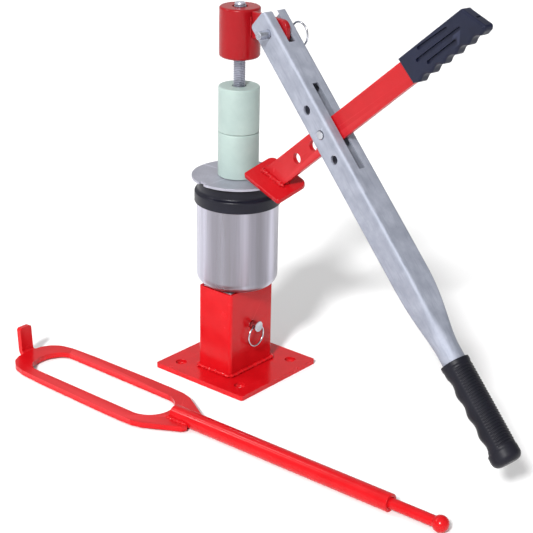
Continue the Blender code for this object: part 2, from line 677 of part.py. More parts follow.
def make_demount_bar(red):
    """The loose bar beside the stand: looped plate, tube handle and ball-ended shaft."""
    frame = empty("demount_bar_lift", Matrix.Translation(BAR_PLACE) @ turn(BAR_HEADING, "Z"))
    shape = prism(loop_outline(), 0.0, BAR_PLATE_THICK)
    arc_length = TAB_BEND_RADIUS * TAB_BEND
    for i in range(7):
        everything = shape.verts[:] + shape.edges[:] + shape.faces[:]
        station = (LOOP_BEND + arc_length * i / 6, 0.0, 0.0)
        bmesh.ops.bisect_plane(shape, geom=everything, plane_co=station, plane_no=(1.0, 0.0, 0.0))
    bend_tab(shape)
    place = at(LOOP_TIP, 0.0, BAR_PLATE_LOW) @ turn(LOOP_SKEW, "Z") @ at(-LOOP_TIP)
    loop = node("demount_loop", shape, red, frame, place)
    cut(loop, prism(loop_hole(), -0.01, 0.02))

    radius = BAR_TUBE_RADIUS
    bore = BAR_SHAFT_RADIUS + BOLD_GAP
    profile = [(bore, BAR_TUBE_START), (radius - 0.001, BAR_TUBE_START), (radius, BAR_TUBE_START + 0.001)]
    profile += [(radius, BAR_TUBE_END - 0.001), (radius - 0.001, BAR_TUBE_END), (bore, BAR_TUBE_END)]
    along = at(z=radius) @ turn(math.radians(90.0), "Y")
    node("demount_tube", turned(profile, 24), red, frame, along)

    half = BAR_SHAFT_RADIUS
    ball = arc((0.0, 0.0), BAR_BALL_RADIUS, -90.0, 90.0, 10)
    neck = math.degrees(math.acos(half / BAR_BALL_RADIUS))
    ball = [(x, y) for x, y in ball if y < BAR_BALL_RADIUS * math.sin(math.radians(neck))]
    profile = [(max(x, 0.0), y) for x, y in ball] + [(half, 0.0085), (half, 0.150), (0.0, 0.150)]
    node("demount_shaft", turned(profile, 24), red, frame, along)

    bead = turned([(BAR_TUBE_RADIUS + GAP, 0.0), (BAR_TUBE_RADIUS + 0.0025, 0.0),
                   (BAR_TUBE_RADIUS + GAP, 0.003)], 24)
    weld = node("demount_weld", bead, red, frame, at(LOOP_TIP - 0.0004, 0.0, radius) @ turn(math.radians(-90.0), "Y"))
    cut(weld, block(0.05, 0.05, 0.02, at(x=-0.01 - 0.0062)))
    return frame


def build():
    """Clears the scene and makes every piece."""
    for thing in list(bpy.data.objects):
        bpy.data.objects.remove(thing, do_unlink=True)
    red = material("red_paint", (0.62, 0.012, 0.016), 0.32)
    zinc = material("zinc", (0.42, 0.43, 0.50), 0.40, 0.9)
    steel = material("brushed_steel", (0.50, 0.49, 0.53), 0.30, 1.0)
    chrome = material("bright_steel", (0.70, 0.71, 0.74), 0.15, 1.0)
    nylon = material("mint_nylon", (0.50, 0.62, 0.60), 0.45)
    rubber = material("black_rubber", (0.018, 0.018, 0.026), 0.55)
    charcoal = material("charcoal_rubber", (0.035, 0.035, 0.042), 0.65)
    navy = material("navy_rubber", (0.033, 0.038, 0.075), 0.55)

    make_base(red, zinc, steel, rubber, nylon)
    make_stack(zinc, nylon)
    hub_frame = make_hub(red)
    make_pins(zinc, chrome, hub_frame)
    lever_frame = make_lever(hub_frame, zinc, charcoal)
    make_arm(lever_frame, red, navy, zinc)
    make_demount_bar(red)


build()
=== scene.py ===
"""Looks of the bead breaker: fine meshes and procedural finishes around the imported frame."""
import math

import bmesh
import bpy
from mathutils import Matrix, Vector, noise


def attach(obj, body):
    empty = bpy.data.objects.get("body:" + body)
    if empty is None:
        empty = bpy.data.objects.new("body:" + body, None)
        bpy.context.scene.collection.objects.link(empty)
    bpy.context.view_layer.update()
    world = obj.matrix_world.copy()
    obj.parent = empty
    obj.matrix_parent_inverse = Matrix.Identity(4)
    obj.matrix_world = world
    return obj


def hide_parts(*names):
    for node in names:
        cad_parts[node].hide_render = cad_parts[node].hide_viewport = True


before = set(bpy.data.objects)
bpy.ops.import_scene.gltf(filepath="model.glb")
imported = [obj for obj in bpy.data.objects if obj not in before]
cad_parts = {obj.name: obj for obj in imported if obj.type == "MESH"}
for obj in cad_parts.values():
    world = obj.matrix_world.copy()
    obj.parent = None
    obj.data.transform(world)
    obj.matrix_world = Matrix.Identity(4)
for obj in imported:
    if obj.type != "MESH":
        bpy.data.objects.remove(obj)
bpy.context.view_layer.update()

# All lengths in metres. GAP keeps touching pieces apart, PLAY is what a pin's hole leaves free.
GAP, PLAY = 0.0003, 0.0005

# Stand
PLATE_HALF, PLATE_THICK, PLATE_CORNER = 0.0675, 0.006, 0.003
HOLE_AT, HOLE_RADIUS, HOLE_FOOT = 0.0462, 0.0066, 0.0056
TUBE_X, TUBE_Y, TUBE_WALL, TUBE_TOP, TUBE_SHIFT, TUBE_CORNER = 0.03775, 0.025, 0.003, 0.1096, -0.0012, 0.0038
POST_LOW, POST_TOP, POST_CAP_LOW, POST_CAP_TOP = 0.020, 0.104, 0.1043, 0.110
LOCK_HEIGHT, LOCK_RADIUS, LOCK_OUT, LOCK_EYE = 0.0613, 0.0046, 0.0352, 0.0046
ROD_RADIUS, ROD_LOW, ROD_TOP, THREAD_PITCH, THREAD_DEEP = 0.0068, 0.088, 0.4408, 0.0020, 0.0011
DRUM_RADIUS, DRUM_LOW, DRUM_TOP, DRUM_WALL, DRUM_FOOT = 0.0473, 0.1103, 0.2104, 0.002, 0.013
RING_RADIUS, RING_BORE, RING_SUNK = 0.0500, 0.033, 0.008
DISC_RADIUS, DISC_TOP, DISC_THICK = 0.0531, 0.2417, 0.0027
NOTCH_HALF, NOTCH_CORNER, NOTCH_TURN = 0.0045, 0.0016, math.radians(169.0)
SPACER_RADIUS, SPACER_BORE, SPACER_HEIGHT = 0.0234, 0.0078, 0.0523
HUB_RADIUS, HUB_LOW, HUB_TOP, HUB_BORE, HUB_ROOF, HUB_HOLE = 0.0231, 0.3795, 0.4361, 0.0160, 0.0068, 0.0086
LUG_HALF_THICK, LUG_HALF_HIGH, LUG_OUT, LUG_WELD_SIDE = 0.003, 0.0148, 0.0150, 0.0042

# Lever and breaker arm
HEADING, SLOPE = math.radians(-100.1), math.radians(43.9)
PIN_REACH, PIN_HEIGHT, PIN_OFFSET, PIN_RADIUS = 0.0667, 0.4197, 0.005, 0.0046
PIN_FAR, PIN_NEAR, PIN_EYE_FAR, PIN_EYE_NEAR = 0.0203, -0.0299, 0.0178, -0.0262
RING_HANG = math.radians(-81.4)
LEVER_HALF, LEVER_WALL, LEVER_BACK, LEVER_FRONT, LEVER_CORNER = 0.01575, 0.0025, 0.0225, 0.503, 0.0040
TAPER_START, TAPER_END, ROUND_RADIUS = 0.300, 0.388, 0.0125
SIDE_HOLE, SIDE_HOLE_PITCH = 0.0052, 0.031
GRIP_START, GRIP_END, GRIP_RADIUS = 0.3985, 0.513, 0.0150
PIVOT_ALONG, PIVOT_ACROSS, ARM_LEAN = 0.1252, -0.004, math.radians(6.9)
ARM_BACK, ARM_FRONT, ARM_FRONT_TOP, ARM_TONGUE = 0.0135, 0.0149, 0.0128, 0.0085
ARM_THICK, ARM_UP, ARM_DOWN = 0.005, 0.243, 0.135
ARM_HOLES, ARM_HOLE_PITCH = (0.0052, 0.0060, 0.0060), 0.033
ARM_GRIP_START, ARM_GRIP_END, ARM_GRIP_BACK, ARM_GRIP_FRONT = 0.1415, 0.2580, -0.0165, 0.0142
ARM_GRIP_HALF, BUMP_START, BUMP_PITCH, BUMPS = 0.0065, 0.1525, 0.0193, 5
SHOE_CENTRE, SHOE_LENGTH, SHOE_WIDTH, SHOE_THICK = (0.0036, 0.0, -0.1133), 0.062, 0.0425, 0.006
SHOE_TILT, SHOE_TWIST = math.radians(-36.1), math.radians(20.5)
RING_REACH, RING_WIRE, EYE_RADIUS = 0.0130, 0.0011, 0.0020

# Demount bar
BAR_RADIUS, BAR_SHAFT, BAR_BALL = 0.0098, 0.0060, 0.0090
BAR_TUBE_LOW, BAR_TUBE_TOP, BAR_SHAFT_TOP = 0.059, 0.352, 0.150
BAR_THICK, BAR_LOW, LOOP_SKEW, LOOP_TIP = 0.0063, 0.0022, math.radians(-0.9), 0.324
LOOP_BEND, BEND_RADIUS, BEND = 0.5920, 0.003, math.radians(86.0)
LOOP_HOLE_LOW, LOOP_HOLE_TOP, LOOP_HOLE_HALF = 0.390, 0.5500, 0.0280

# Studio
SKY_LOW, SKY_LEFT, SKY_BACK = 0.20, 0.42, 0.42
KEY_FROM, KEY_POWER, KEY_SPREAD = (-0.75, -0.27, 0.60), 3.6, 9.0
GLINT_SIZE, GLINT_AWAY, GLINT_AIM = 0.22, 2.5, (-0.05, -0.10, 0.10)
CAMERA_AT, CAMERA_TURN = (-1.26056, -1.08461, 0.80960), (-50.478, 22.274, 1.144)
SENSOR, LENS = 36.0, 1537.0 / 533.0 * 36.0
FLOOR_REACH, FLOOR_DROP = 60.0, 0.0002


def at(x=0.0, y=0.0, z=0.0):
    """A shift."""
    return Matrix.Translation((x, y, z))


def turn(angle, axis):
    """A turn about one axis."""
    return Matrix.Rotation(angle, 4, axis)


HUB = turn(HEADING, "Z")
PIN = HUB @ at(PIN_REACH, 0.0, PIN_HEIGHT)
LEVER = PIN @ turn(SLOPE, "Y")
PIVOT = LEVER @ at(PIVOT_ALONG, 0.0, PIVOT_ACROSS)
ARM = PIVOT @ turn(ARM_LEAN, "Y")
SHOE_ON_ARM = Matrix.Translation(SHOE_CENTRE) @ turn(SHOE_TILT, "Y") @ turn(SHOE_TWIST, "X")
SHOE = ARM @ SHOE_ON_ARM
BAR = at(-0.148, -0.394) @ turn(math.radians(90.7), "Z")
UPRIGHT = turn(math.radians(90.0), "X")
ALONG_Y = turn(math.radians(-90.0), "X")
ALONG_X = turn(math.radians(90.0), "Y")


# ---------------------------------------------------------------- materials
def make_look(name, colour, rough, metal=0.0, spec=0.5):
    """A material, with its tree, its shader and its coordinates at hand."""
    made = bpy.data.materials.new(name)
    made.use_nodes = True
    tree = made.node_tree
    shader = tree.nodes["Principled BSDF"]
    shader.inputs["Base Color"].default_value = (*colour, 1.0)
    shader.inputs["Roughness"].default_value = rough
    shader.inputs["Metallic"].default_value = metal
    shader.inputs["Specular IOR Level"].default_value = spec
    where = tree.nodes.new("ShaderNodeTexCoord")
    return made, tree, shader, where


def speckle(tree, where, scale, detail=4.0, stretch=(1.0, 1.0, 1.0), rough=0.55):
    """A noise texture in the piece's own space; stretch scales each axis."""
    mapping = tree.nodes.new("ShaderNodeMapping")
    mapping.inputs["Scale"].default_value = stretch
    tree.links.new(where.outputs["Object"], mapping.inputs["Vector"])
    texture = tree.nodes.new("ShaderNodeTexNoise")
    texture.inputs["Scale"].default_value = scale
    texture.inputs["Detail"].default_value = detail
    texture.inputs["Roughness"].default_value = rough
    tree.links.new(mapping.outputs["Vector"], texture.inputs["Vector"])
    return texture.outputs["Fac"]


def ramp(tree, value, low, high, first, last):
    """Maps value from low..high to two colours, given as greys or triples."""
    made = tree.nodes.new("ShaderNodeValToRGB")
    for element, place, colour in zip(made.color_ramp.elements, (low, high), (first, last)):
        element.position = place
        colour = (colour,) * 3 if isinstance(colour, float) else colour
        element.color = (*colour, 1.0)
    tree.links.new(value, made.inputs["Fac"])
    return made.outputs["Color"]


def blend_in(tree, under, over, share):
    """Mixes two colours by a share from a socket."""
    mix = tree.nodes.new("ShaderNodeMix")
    mix.data_type = "RGBA"
    tree.links.new(share, mix.inputs["Factor"])
    for socket, colour in ((mix.inputs[6], under), (mix.inputs[7], over)):
        if isinstance(colour, tuple):
            socket.default_value = (*colour, 1.0)
        else:
            tree.links.new(colour, socket)
    return mix.outputs[2]


def bump(tree, shader, height, strength, distance=0.0005, chain=None):
    """Adds relief to the shader's normal; chain is the relief that this one is laid over."""
    made = tree.nodes.new("ShaderNodeBump")
    made.inputs["Strength"].default_value = strength
    made.inputs["Distance"].default_value = distance
    tree.links.new(height, made.inputs["Height"])
    if chain is not None:
        tree.links.new(chain, made.inputs["Normal"])
    tree.links.new(made.outputs["Normal"], shader.inputs["Normal"])
    return made.outputs["Normal"]


def edges(tree, low, high):
    """1 on convex edges, 0 on flats, from the mesh's own shape; the callers put wear, dust and painted
    highlights there.
    """
    shape = tree.nodes.new("ShaderNodeNewGeometry")
    return ramp(tree, shape.outputs["Pointiness"], low, high, 0.0, 1.0)


def red_paint(name, depth):
    """Glossy enamel: soft clouds, paler edges, grit and orange peel; depth is how strong the red is, and a
    lower depth paints shade into a darker copy.
    """
    made, tree, shader, where = make_look(name, (depth, 0.006, 0.010), 0.22, spec=0.24)
    cloud = speckle(tree, where, 38.0, 5.0)
    base = ramp(tree, cloud, 0.30, 0.72, (depth * 0.93, 0.0030, 0.0060), (depth * 1.07, 0.0050, 0.0090))
    worn = blend_in(tree, base, (min(0.8, depth * 1.25), 0.022, 0.028), edges(tree, 0.53, 0.62))
    grit = ramp(tree, speckle(tree, where, 900.0, 2.0), 0.70, 0.80, 0.0, 0.16)
    tree.links.new(blend_in(tree, worn, (0.30, 0.004, 0.006), grit), shader.inputs["Base Color"])
    tree.links.new(ramp(tree, cloud, 0.25, 0.75, 0.17, 0.29), shader.inputs["Roughness"])
    peel = bump(tree, shader, speckle(tree, where, 420.0, 2.0), 0.08, 0.0004)
    bump(tree, shader, speckle(tree, where, 70.0, 3.0), 0.10, 0.0010, peel)
    return made


def plated(name, dark, light, rough, blotch=26.0, metal=0.9, drawn=(1.0, 1.0, 1.0), rub_and_sheen=0.3, relief=0.10):
    """Zinc or bright plate: cloudy tone, drawn scratches, and convex edges made brighter, partly rubbed wear
    and partly a painted highlight along the edges.
    """
    made, tree, shader, where = make_look(name, light, rough, metal)
    cloud = speckle(tree, where, blotch, 6.0, rough=0.62)
    base = ramp(tree, cloud, 0.34, 0.68, dark, light)
    grain = speckle(tree, where, 420.0, 3.0, drawn)
    tone = tuple(value * 0.78 for value in dark)
    fine = ramp(tree, grain, 0.50, 0.74, 0.0, 0.38)
    base = blend_in(tree, base, tone, fine)
    # Convex edges are painted brighter: rubbed wear and a painted highlight on the edges in one.
    shine = tuple(min(1.0, value * (1.0 + rub_and_sheen)) for value in light)
    tree.links.new(blend_in(tree, base, shine, edges(tree, 0.52, 0.60)), shader.inputs["Base Color"])
    spread = ramp(tree, cloud, 0.3, 0.7, max(0.04, rough - 0.07), rough + 0.09)
    tree.links.new(spread, shader.inputs["Roughness"])
    bump(tree, shader, grain, relief, 0.0003)
    return made


def brushed_drum():
    """Turned steel whose colour carries broad upright bands and tall streaks of painted reflection, with
    fine grain over them.
    """
    made, tree, shader, where = make_look("brushed_steel", (0.40, 0.39, 0.43), 0.30, 1.0)
    # Broad upright bands and tall streaks of lighter and darker steel are painted reflections laid into the
    # colour.
    reflection_bands = speckle(tree, where, 19.0, 2.0, (1.0, 1.0, 0.0))
    reflection_streaks = speckle(tree, where, 46.0, 4.0, (1.0, 1.0, 0.03))
    fine = speckle(tree, where, 260.0, 3.0, (1.0, 1.0, 0.05))
    base = ramp(tree, reflection_bands, 0.40, 0.60, (0.25, 0.24, 0.27), (0.54, 0.53, 0.62))
    base = blend_in(tree, base, (0.22, 0.21, 0.24), ramp(tree, reflection_streaks, 0.38, 0.58, 0.55, 0.0))
    base = blend_in(tree, base, (0.22, 0.21, 0.22), ramp(tree, fine, 0.54, 0.76, 0.0, 0.35))
    tree.links.new(base, shader.inputs["Base Color"])
    tree.links.new(ramp(tree, reflection_streaks, 0.3, 0.7, 0.38, 0.24), shader.inputs["Roughness"])
    turning = speckle(tree, where, 30.0, 3.0, (0.2, 0.2, 40.0))
    first = bump(tree, shader, turning, 0.08, 0.0003)
    bump(tree, shader, fine, 0.10, 0.0003, first)
    return made


def moulded(name, dark, light, rough, grain=0.25, scale=700.0, spec=0.3):
    """Rubber or nylon: soft tone changes with a fine moulded grain."""
    made, tree, shader, where = make_look(name, light, rough, spec=spec)
    cloud = speckle(tree, where, 30.0, 5.0)
    base = ramp(tree, cloud, 0.32, 0.70, dark, light)
    dust = tuple(min(1.0, value * 1.3 + 0.008) for value in light)
    tree.links.new(blend_in(tree, base, dust, edges(tree, 0.53, 0.64)), shader.inputs["Base Color"])
    tree.links.new(ramp(tree, cloud, 0.25, 0.75, rough - 0.07, rough + 0.08), shader.inputs["Roughness"])
    bump(tree, shader, speckle(tree, where, scale, 3.0), grain, 0.0002)
    return made


DRAWN = (0.12, 1.0, 1.0)
# Looks that are a shade of another slot
LOOKS = {
    "red_paint": red_paint("glossy_red", 0.52),
    # The hub's and the arm's reds are the same enamel made darker: painted shade on lit and shaded copies of
    # one paint.
    "hub_red_shaded": red_paint("glossy_red_shaded_hub", 0.29),
    "arm_red_shaded": red_paint("glossy_red_shaded_arm", 0.41),
    "zinc_plate": plated("zinc_plate", (0.26, 0.27, 0.30), (0.48, 0.49, 0.54), 0.30),
    # The rod's thread crests are painted much brighter than the darker rest: a painted highlight that draws
    # the thread lines.
    "rod_zinc": plated("rod_zinc", (0.24, 0.25, 0.30), (0.42, 0.43, 0.50), 0.30, 60.0, 0.8,
                       rub_and_sheen=0.8, relief=0.04),
    "pin_zinc": plated("pin_zinc", (0.28, 0.29, 0.33), (0.46, 0.48, 0.55), 0.28, 80.0, 0.85),
    "disc_plate": plated("disc_plate", (0.34, 0.34, 0.40), (0.44, 0.44, 0.51), 0.46, 34.0, 0.6),
    "lever_zinc": plated("lever_zinc", (0.26, 0.28, 0.34), (0.36, 0.38, 0.45), 0.62, 55.0, 0.40,
                         DRAWN, 0.08),
    "brushed_drum": brushed_drum(),
    "bright_pin": plated("bright_pin", (0.36, 0.37, 0.41), (0.60, 0.61, 0.66), 0.20, 60.0, 1.0, rub_and_sheen=0.15),
    "nylon": moulded("mint_nylon", (0.31, 0.39, 0.37), (0.37, 0.46, 0.43), 0.42, 0.10, 300.0),
    "ring_rubber": moulded("black_rubber", (0.004, 0.004, 0.009), (0.009, 0.009, 0.017), 0.36, 0.12,
                           spec=0.26),
    "charcoal_grip": moulded("charcoal_rubber", (0.004, 0.004, 0.008), (0.008, 0.008, 0.014), 0.44,
                             spec=0.22),
    "navy_grip": moulded("navy_rubber", (0.006, 0.008, 0.022), (0.011, 0.014, 0.036), 0.42, spec=0.22),
}


# ---------------------------------------------------------------- shapes
def arc(cx, cy, radius, start, end, steps):
    """Points on an arc, angles in degrees."""
    spread = [math.radians(start + (end - start) * i / steps) for i in range(steps + 1)]
    return [(cx + radius * math.cos(a), cy + radius * math.sin(a)) for a in spread]


def soften(points, radii, steps=6):
    """Rounds the corners of a closed outline; radii is one number or one per corner."""
    count = len(points)
    radii = [radii] * count if isinstance(radii, float) else radii
    out = []
    for i, radius in enumerate(radii):
        corner = Vector(points[i])
        one = Vector(points[i - 1]) - corner
        two = Vector(points[(i + 1) % count]) - corner
        half = one.angle(two) / 2.0
        if radius <= 0.0 or half > 1.55:
            out.append(tuple(corner))
            continue
        reach = min(radius / math.tan(half), one.length * 0.49, two.length * 0.49)
        radius = reach * math.tan(half)
        first = corner + one.normalized() * reach
        last = corner + two.normalized() * reach
        centre = corner + (one.normalized() + two.normalized()).normalized() * radius / math.sin(half)
        begin, finish = first - centre, last - centre
        swing = begin.angle_signed(finish)
        for k in range(steps + 1):
            a = -swing * k / steps
            x = begin.x * math.cos(a) - begin.y * math.sin(a)
            y = begin.x * math.sin(a) + begin.y * math.cos(a)
            out.append((centre.x + x, centre.y + y))
    return out


def rectangle(half_x, half_y, radius, steps=6):
    """A rectangle with round corners, as an outline."""
    corners = [(half_x, half_y), (-half_x, half_y), (-half_x, -half_y), (half_x, -half_y)]
    return soften(corners, radius, steps)


def prism(outline, low, high):
    """A slab between two heights."""
    shape = bmesh.new()
    rows = [[shape.verts.new((x, y, z)) for x, y in outline] for z in (low, high)]
    shape.faces.new(rows[0][::-1])
    shape.faces.new(rows[1])
    count = len(outline)
    for i in range(count):
        j = (i + 1) % count
        shape.faces.new((rows[0][i], rows[0][j], rows[1][j], rows[1][i]))
    return shape


def loft(rows, close_rows=False, caps=True):
    """Joins rows of points, each a closed loop; caps the ends or closes the rows on themselves."""
    shape = bmesh.new()
    made = [[shape.verts.new(point) for point in row] for row in rows]
    pairs = list(zip(made, made[1:] + made[:1])) if close_rows else list(zip(made, made[1:]))
    for first, second in pairs:
        for i in range(len(first)):
            j = (i + 1) % len(first)
            shape.faces.new((first[i], first[j], second[j], second[i]))
    if caps and not close_rows:
        shape.faces.new(made[0][::-1])
        shape.faces.new(made[-1])
    return shape


def rounded_slab(outline, half, radius, steps=6):
    """A slab whose rims are rounded: the outline is drawn in along its own normals."""
    count = len(outline)
    points = [Vector(p) for p in outline]
    inward = []
    for i in range(count):
        before = (points[i] - points[i - 1]).normalized()
        after = (points[(i + 1) % count] - points[i]).normalized()
        normal = Vector((-before.y, before.x)) + Vector((-after.y, after.x))
        inward.append(normal / max(0.6, normal.length ** 2 / 2.0))
    rows = []
    for side in (-1, 1):
        for i in range(steps + 1):
            a = math.radians(90.0 * (i if side < 0 else steps - i) / steps)
            draw = radius * (1.0 - math.sin(a))
            height = side * (half - radius + radius * math.cos(a))
            rows.append([(p.x + n.x * draw, p.y + n.y * draw, height) for p, n in zip(points, inward)])
    shape = loft(rows)
    bmesh.ops.triangulate(shape, faces=[face for face in shape.faces if len(face.verts) > 4])
    return shape


def round_row(x, radius, sides):
    """Points on a ring about X, starting at the top."""
    spread = [math.tau * k / sides for k in range(sides)]
    return [(x, radius * math.sin(a), radius * math.cos(a)) for a in spread]


def lathe(profile, sides):
    """Turns a closed outline of (radius, height) about Z."""
    shape = bmesh.new()
    rings = []
    for radius, height in profile:
        if radius < 1e-7:
            rings.append([shape.verts.new((0.0, 0.0, height))] * sides)
            continue
        spread = [math.tau * k / sides for k in range(sides)]
        points = [(radius * math.cos(a), radius * math.sin(a), height) for a in spread]
        rings.append([shape.verts.new(point) for point in points])
    for first, second in zip(rings, rings[1:] + rings[:1]):
        for k in range(sides):
            j = (k + 1) % sides
            corners = []
            for vert in (first[k], first[j], second[j], second[k]):
                if vert not in corners:
                    corners.append(vert)
            if len(corners) > 2:
                shape.faces.new(corners)
    return shape


def rod(radius, low, high, axis="Z", sides=48):
    """A round bar along an axis."""
    shape = prism(arc(0.0, 0.0, radius, 0.0, 360.0, sides)[:-1], low, high)
    if axis == "Y":
        shape.transform(ALONG_Y)
    if axis == "X":
        shape.transform(ALONG_X)
    return shape


def block(x, y, z):
    """A box about the origin."""
    return prism([(x / 2, y / 2), (-x / 2, y / 2), (-x / 2, -y / 2), (x / 2, -y / 2)], -z / 2, z / 2)


def moved(shape, place):
    """The shape, carried to a place."""
    shape.transform(place)
    return shape


def mesh_of(name, shape):
    """A mesh from a bmesh, faces pointing out."""
    bmesh.ops.recalc_face_normals(shape, faces=shape.faces)
    if shape.calc_volume(signed=True) < 0.0:
        bmesh.ops.reverse_faces(shape, faces=shape.faces)
    mesh = bpy.data.meshes.new(name)
    shape.to_mesh(mesh)
    shape.free()
    return mesh


def piece(name, shape, look, body, place=None, nodes=None, cuts=(), bevel=0.0, segments=3, limit=35.0,
          even=True, solver="EXACT"):
    """One finished piece: cut, bevelled, shaded smooth, riding on its body in place of its CAD nodes."""
    thing = bpy.data.objects.new(name, mesh_of(name, shape))
    bpy.context.scene.collection.objects.link(thing)
    tools = []
    for i, cutter in enumerate(cuts):
        tool = bpy.data.objects.new("%s_cut_%d" % (name, i), mesh_of("cut", cutter))
        bpy.context.scene.collection.objects.link(tool)
        step = thing.modifiers.new("cut", "BOOLEAN")
        step.operation, step.solver, step.object = "DIFFERENCE", solver, tool
        tools.append(tool)
    if bevel > 0.0:
        step = thing.modifiers.new("bevel", "BEVEL")
        step.width, step.segments = bevel, segments
        step.limit_method, step.angle_limit = "ANGLE", math.radians(limit)
        step.use_clamp_overlap = True
    bpy.context.view_layer.update()
    graph = bpy.context.evaluated_depsgraph_get()
    done = bpy.data.meshes.new_from_object(thing.evaluated_get(graph))
    thing.modifiers.clear()
    thing.data = done
    for tool in tools:
        bpy.data.objects.remove(tool)
    done.shade_smooth()
    done.set_sharp_from_angle(angle=math.radians(50.0))
    if even:
        step = thing.modifiers.new("weighted", "WEIGHTED_NORMAL")
        step.keep_sharp = True
    done.materials.clear()
    done.materials.append(LOOKS[look])
    if place is not None:
        thing.matrix_world = place
    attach(thing, body)
    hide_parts(*(nodes or [name.replace("fine_", "")]))


def bead(path, radius, name, body, place, nodes, pitch=0.0034, closed=True, seed=0.0, spatter=0,
         look="red_paint", sink=0.0):
    """A ripple weld: a flattened tube round a path that swells and wanders, with drops beside it.

    The drops lie sink metres below the path, on the plate.
    """
    flat, sides = 0.75, 18
    points = [Vector(p) for p in path]
    count = len(points)
    rows = []
    run = 0.0
    for i, point in enumerate(points):
        after = points[(i + 1) % count] if closed or i + 1 < count else point
        before = points[i - 1] if closed or i > 0 else point
        forward = (after - before).normalized()
        side = forward.cross(Vector((0.0, 0.0, 1.0))).normalized()
        up = side.cross(forward)
        share = (run / pitch) % 1.0
        ripple = math.sin(math.pi * share) ** 0.6
        wander = noise.noise(point * 260.0 + Vector((seed, 0.0, 0.0)))
        size = radius * (0.78 + 0.20 * ripple + 0.34 * wander)
        fade = 1.0
        if not closed:
            ends = min(i, count - 1 - i) / 6.0
            fade = math.sqrt(min(1.0, 0.12 + ends))
        row = []
        for k in range(sides):
            a = math.tau * k / sides
            lump = 1.0 + 0.34 * noise.noise(point * 620.0 + Vector((math.cos(a), math.sin(a), seed)) * 1.4)
            reach = size * lump * fade
            row.append(point + side * math.cos(a) * reach + up * math.sin(a) * reach * flat)
        rows.append(row)
        run += (after - point).length
    shape = loft(rows, close_rows=closed)
    for i in range(spatter):
        where = points[int(count * ((i * 0.6180339 + 0.13 * seed) % 1.0))]
        along, across = (noise.noise(Vector((i * 3.7, seed, row))) * radius * 2.6 for row in (1.3, 7.9))
        size = 0.00035 + 0.00065 * abs(noise.noise(Vector((i * 1.9, 4.1, seed))))
        centre = Vector((where.x + along, where.y + across, where.z - sink))
        bmesh.ops.create_icosphere(shape, subdivisions=2, radius=size, matrix=Matrix.Translation(centre))
    piece(name, shape, look, body, place, nodes, even=False)


def resample(outline, spacing):
    """Points at an even spacing along a closed outline."""
    points = [Vector(p) for p in outline]
    points.append(points[0])
    out = []
    left = 0.0
    for one, two in zip(points, points[1:]):
        length = (two - one).length
        while left <= length:
            out.append(one.lerp(two, left / length))
            left += spacing
        left -= length
    return out


# ---------------------------------------------------------------- stand
def lock_hole():
    """The locking pin's hole through tube and post, in the tube's own frame."""
    return moved(rod(LOCK_RADIUS + PLAY, -0.04, 0.04, "Y"), at(-TUBE_SHIFT, 0.0, LOCK_HEIGHT))


def make_stand():
    """Base plate, tube and weld, the post inside with its cap, and the drum."""
    holes = []
    for x in (-HOLE_AT, HOLE_AT):
        for y in (-HOLE_AT, HOLE_AT):
            profile = [(0.0, -0.01), (HOLE_FOOT, -0.01), (HOLE_FOOT, 0.0012), (HOLE_RADIUS, 0.0024)]
            profile += [(HOLE_RADIUS, 0.02), (0.0, 0.02)]
            holes.append(moved(lathe(profile, 48), at(x, y)))
    plate = prism(rectangle(PLATE_HALF, PLATE_HALF, PLATE_CORNER), 0.0, PLATE_THICK)
    piece("fine_base_plate", plate, "red_paint", "base", cuts=holes, bevel=0.0008)

    low, place = PLATE_THICK + GAP, at(TUBE_SHIFT)
    tube = prism(rectangle(TUBE_X, TUBE_Y, TUBE_CORNER, 8), low, TUBE_TOP)
    inside = rectangle(TUBE_X - TUBE_WALL, TUBE_Y - TUBE_WALL, 0.0018)
    cuts = [prism(inside, low - 0.01, TUBE_TOP + 0.01), lock_hole()]
    piece("fine_base_tube", tube, "red_paint", "base", place, cuts=cuts, bevel=0.0006)

    toe, weld_rise = 0.0012, 0.0014
    foot = [(*p, low + weld_rise) for p in rectangle(TUBE_X + toe, TUBE_Y + toe, 0.0045, 8)]
    foot = resample(foot, 0.00042)
    bead(foot, 0.0026, "fine_base_weld", "base", place, ["base_weld"], 0.0036, seed=3.0, spatter=90,
         sink=weld_rise + GAP)

    outer = rectangle(TUBE_X - 0.0035, TUBE_Y - 0.0035, 0.003)
    inner = rectangle(TUBE_X - 0.006, TUBE_Y - 0.006, 0.0012)
    cuts = [prism(inner, 0.0, 0.2), lock_hole()]
    post = prism(outer, POST_LOW, POST_TOP)
    piece("fine_inner_post", post, "zinc_plate", "base", place, cuts=cuts, bevel=0.0004)
    cuts = [moved(rod(ROD_RADIUS + GAP, 0.09, 0.12), at(-TUBE_SHIFT))]
    cap = prism(outer, POST_CAP_LOW, POST_CAP_TOP)
    piece("fine_post_cap", cap, "zinc_plate", "base", place, cuts=cuts, bevel=0.0006)

    centre = (DRUM_RADIUS - DRUM_FOOT, DRUM_LOW + DRUM_FOOT)
    lip = 0.0006
    profile = [(ROD_RADIUS + GAP, DRUM_LOW)] + arc(*centre, DRUM_FOOT, -90.0, 0.0, 14)
    profile += arc(DRUM_RADIUS - lip, DRUM_TOP - lip, lip, 0.0, 90.0, 3)
    profile += arc(DRUM_RADIUS - DRUM_WALL + lip, DRUM_TOP - lip, lip, 90.0, 180.0, 3)
    profile += arc(*centre, DRUM_FOOT - DRUM_WALL, 0.0, -90.0, 8)
    profile += [(ROD_RADIUS + GAP, DRUM_LOW + DRUM_WALL)]
    piece("fine_drum", lathe(profile, 160), "brushed_drum", "base")
    make_rubber()
    make_rod()


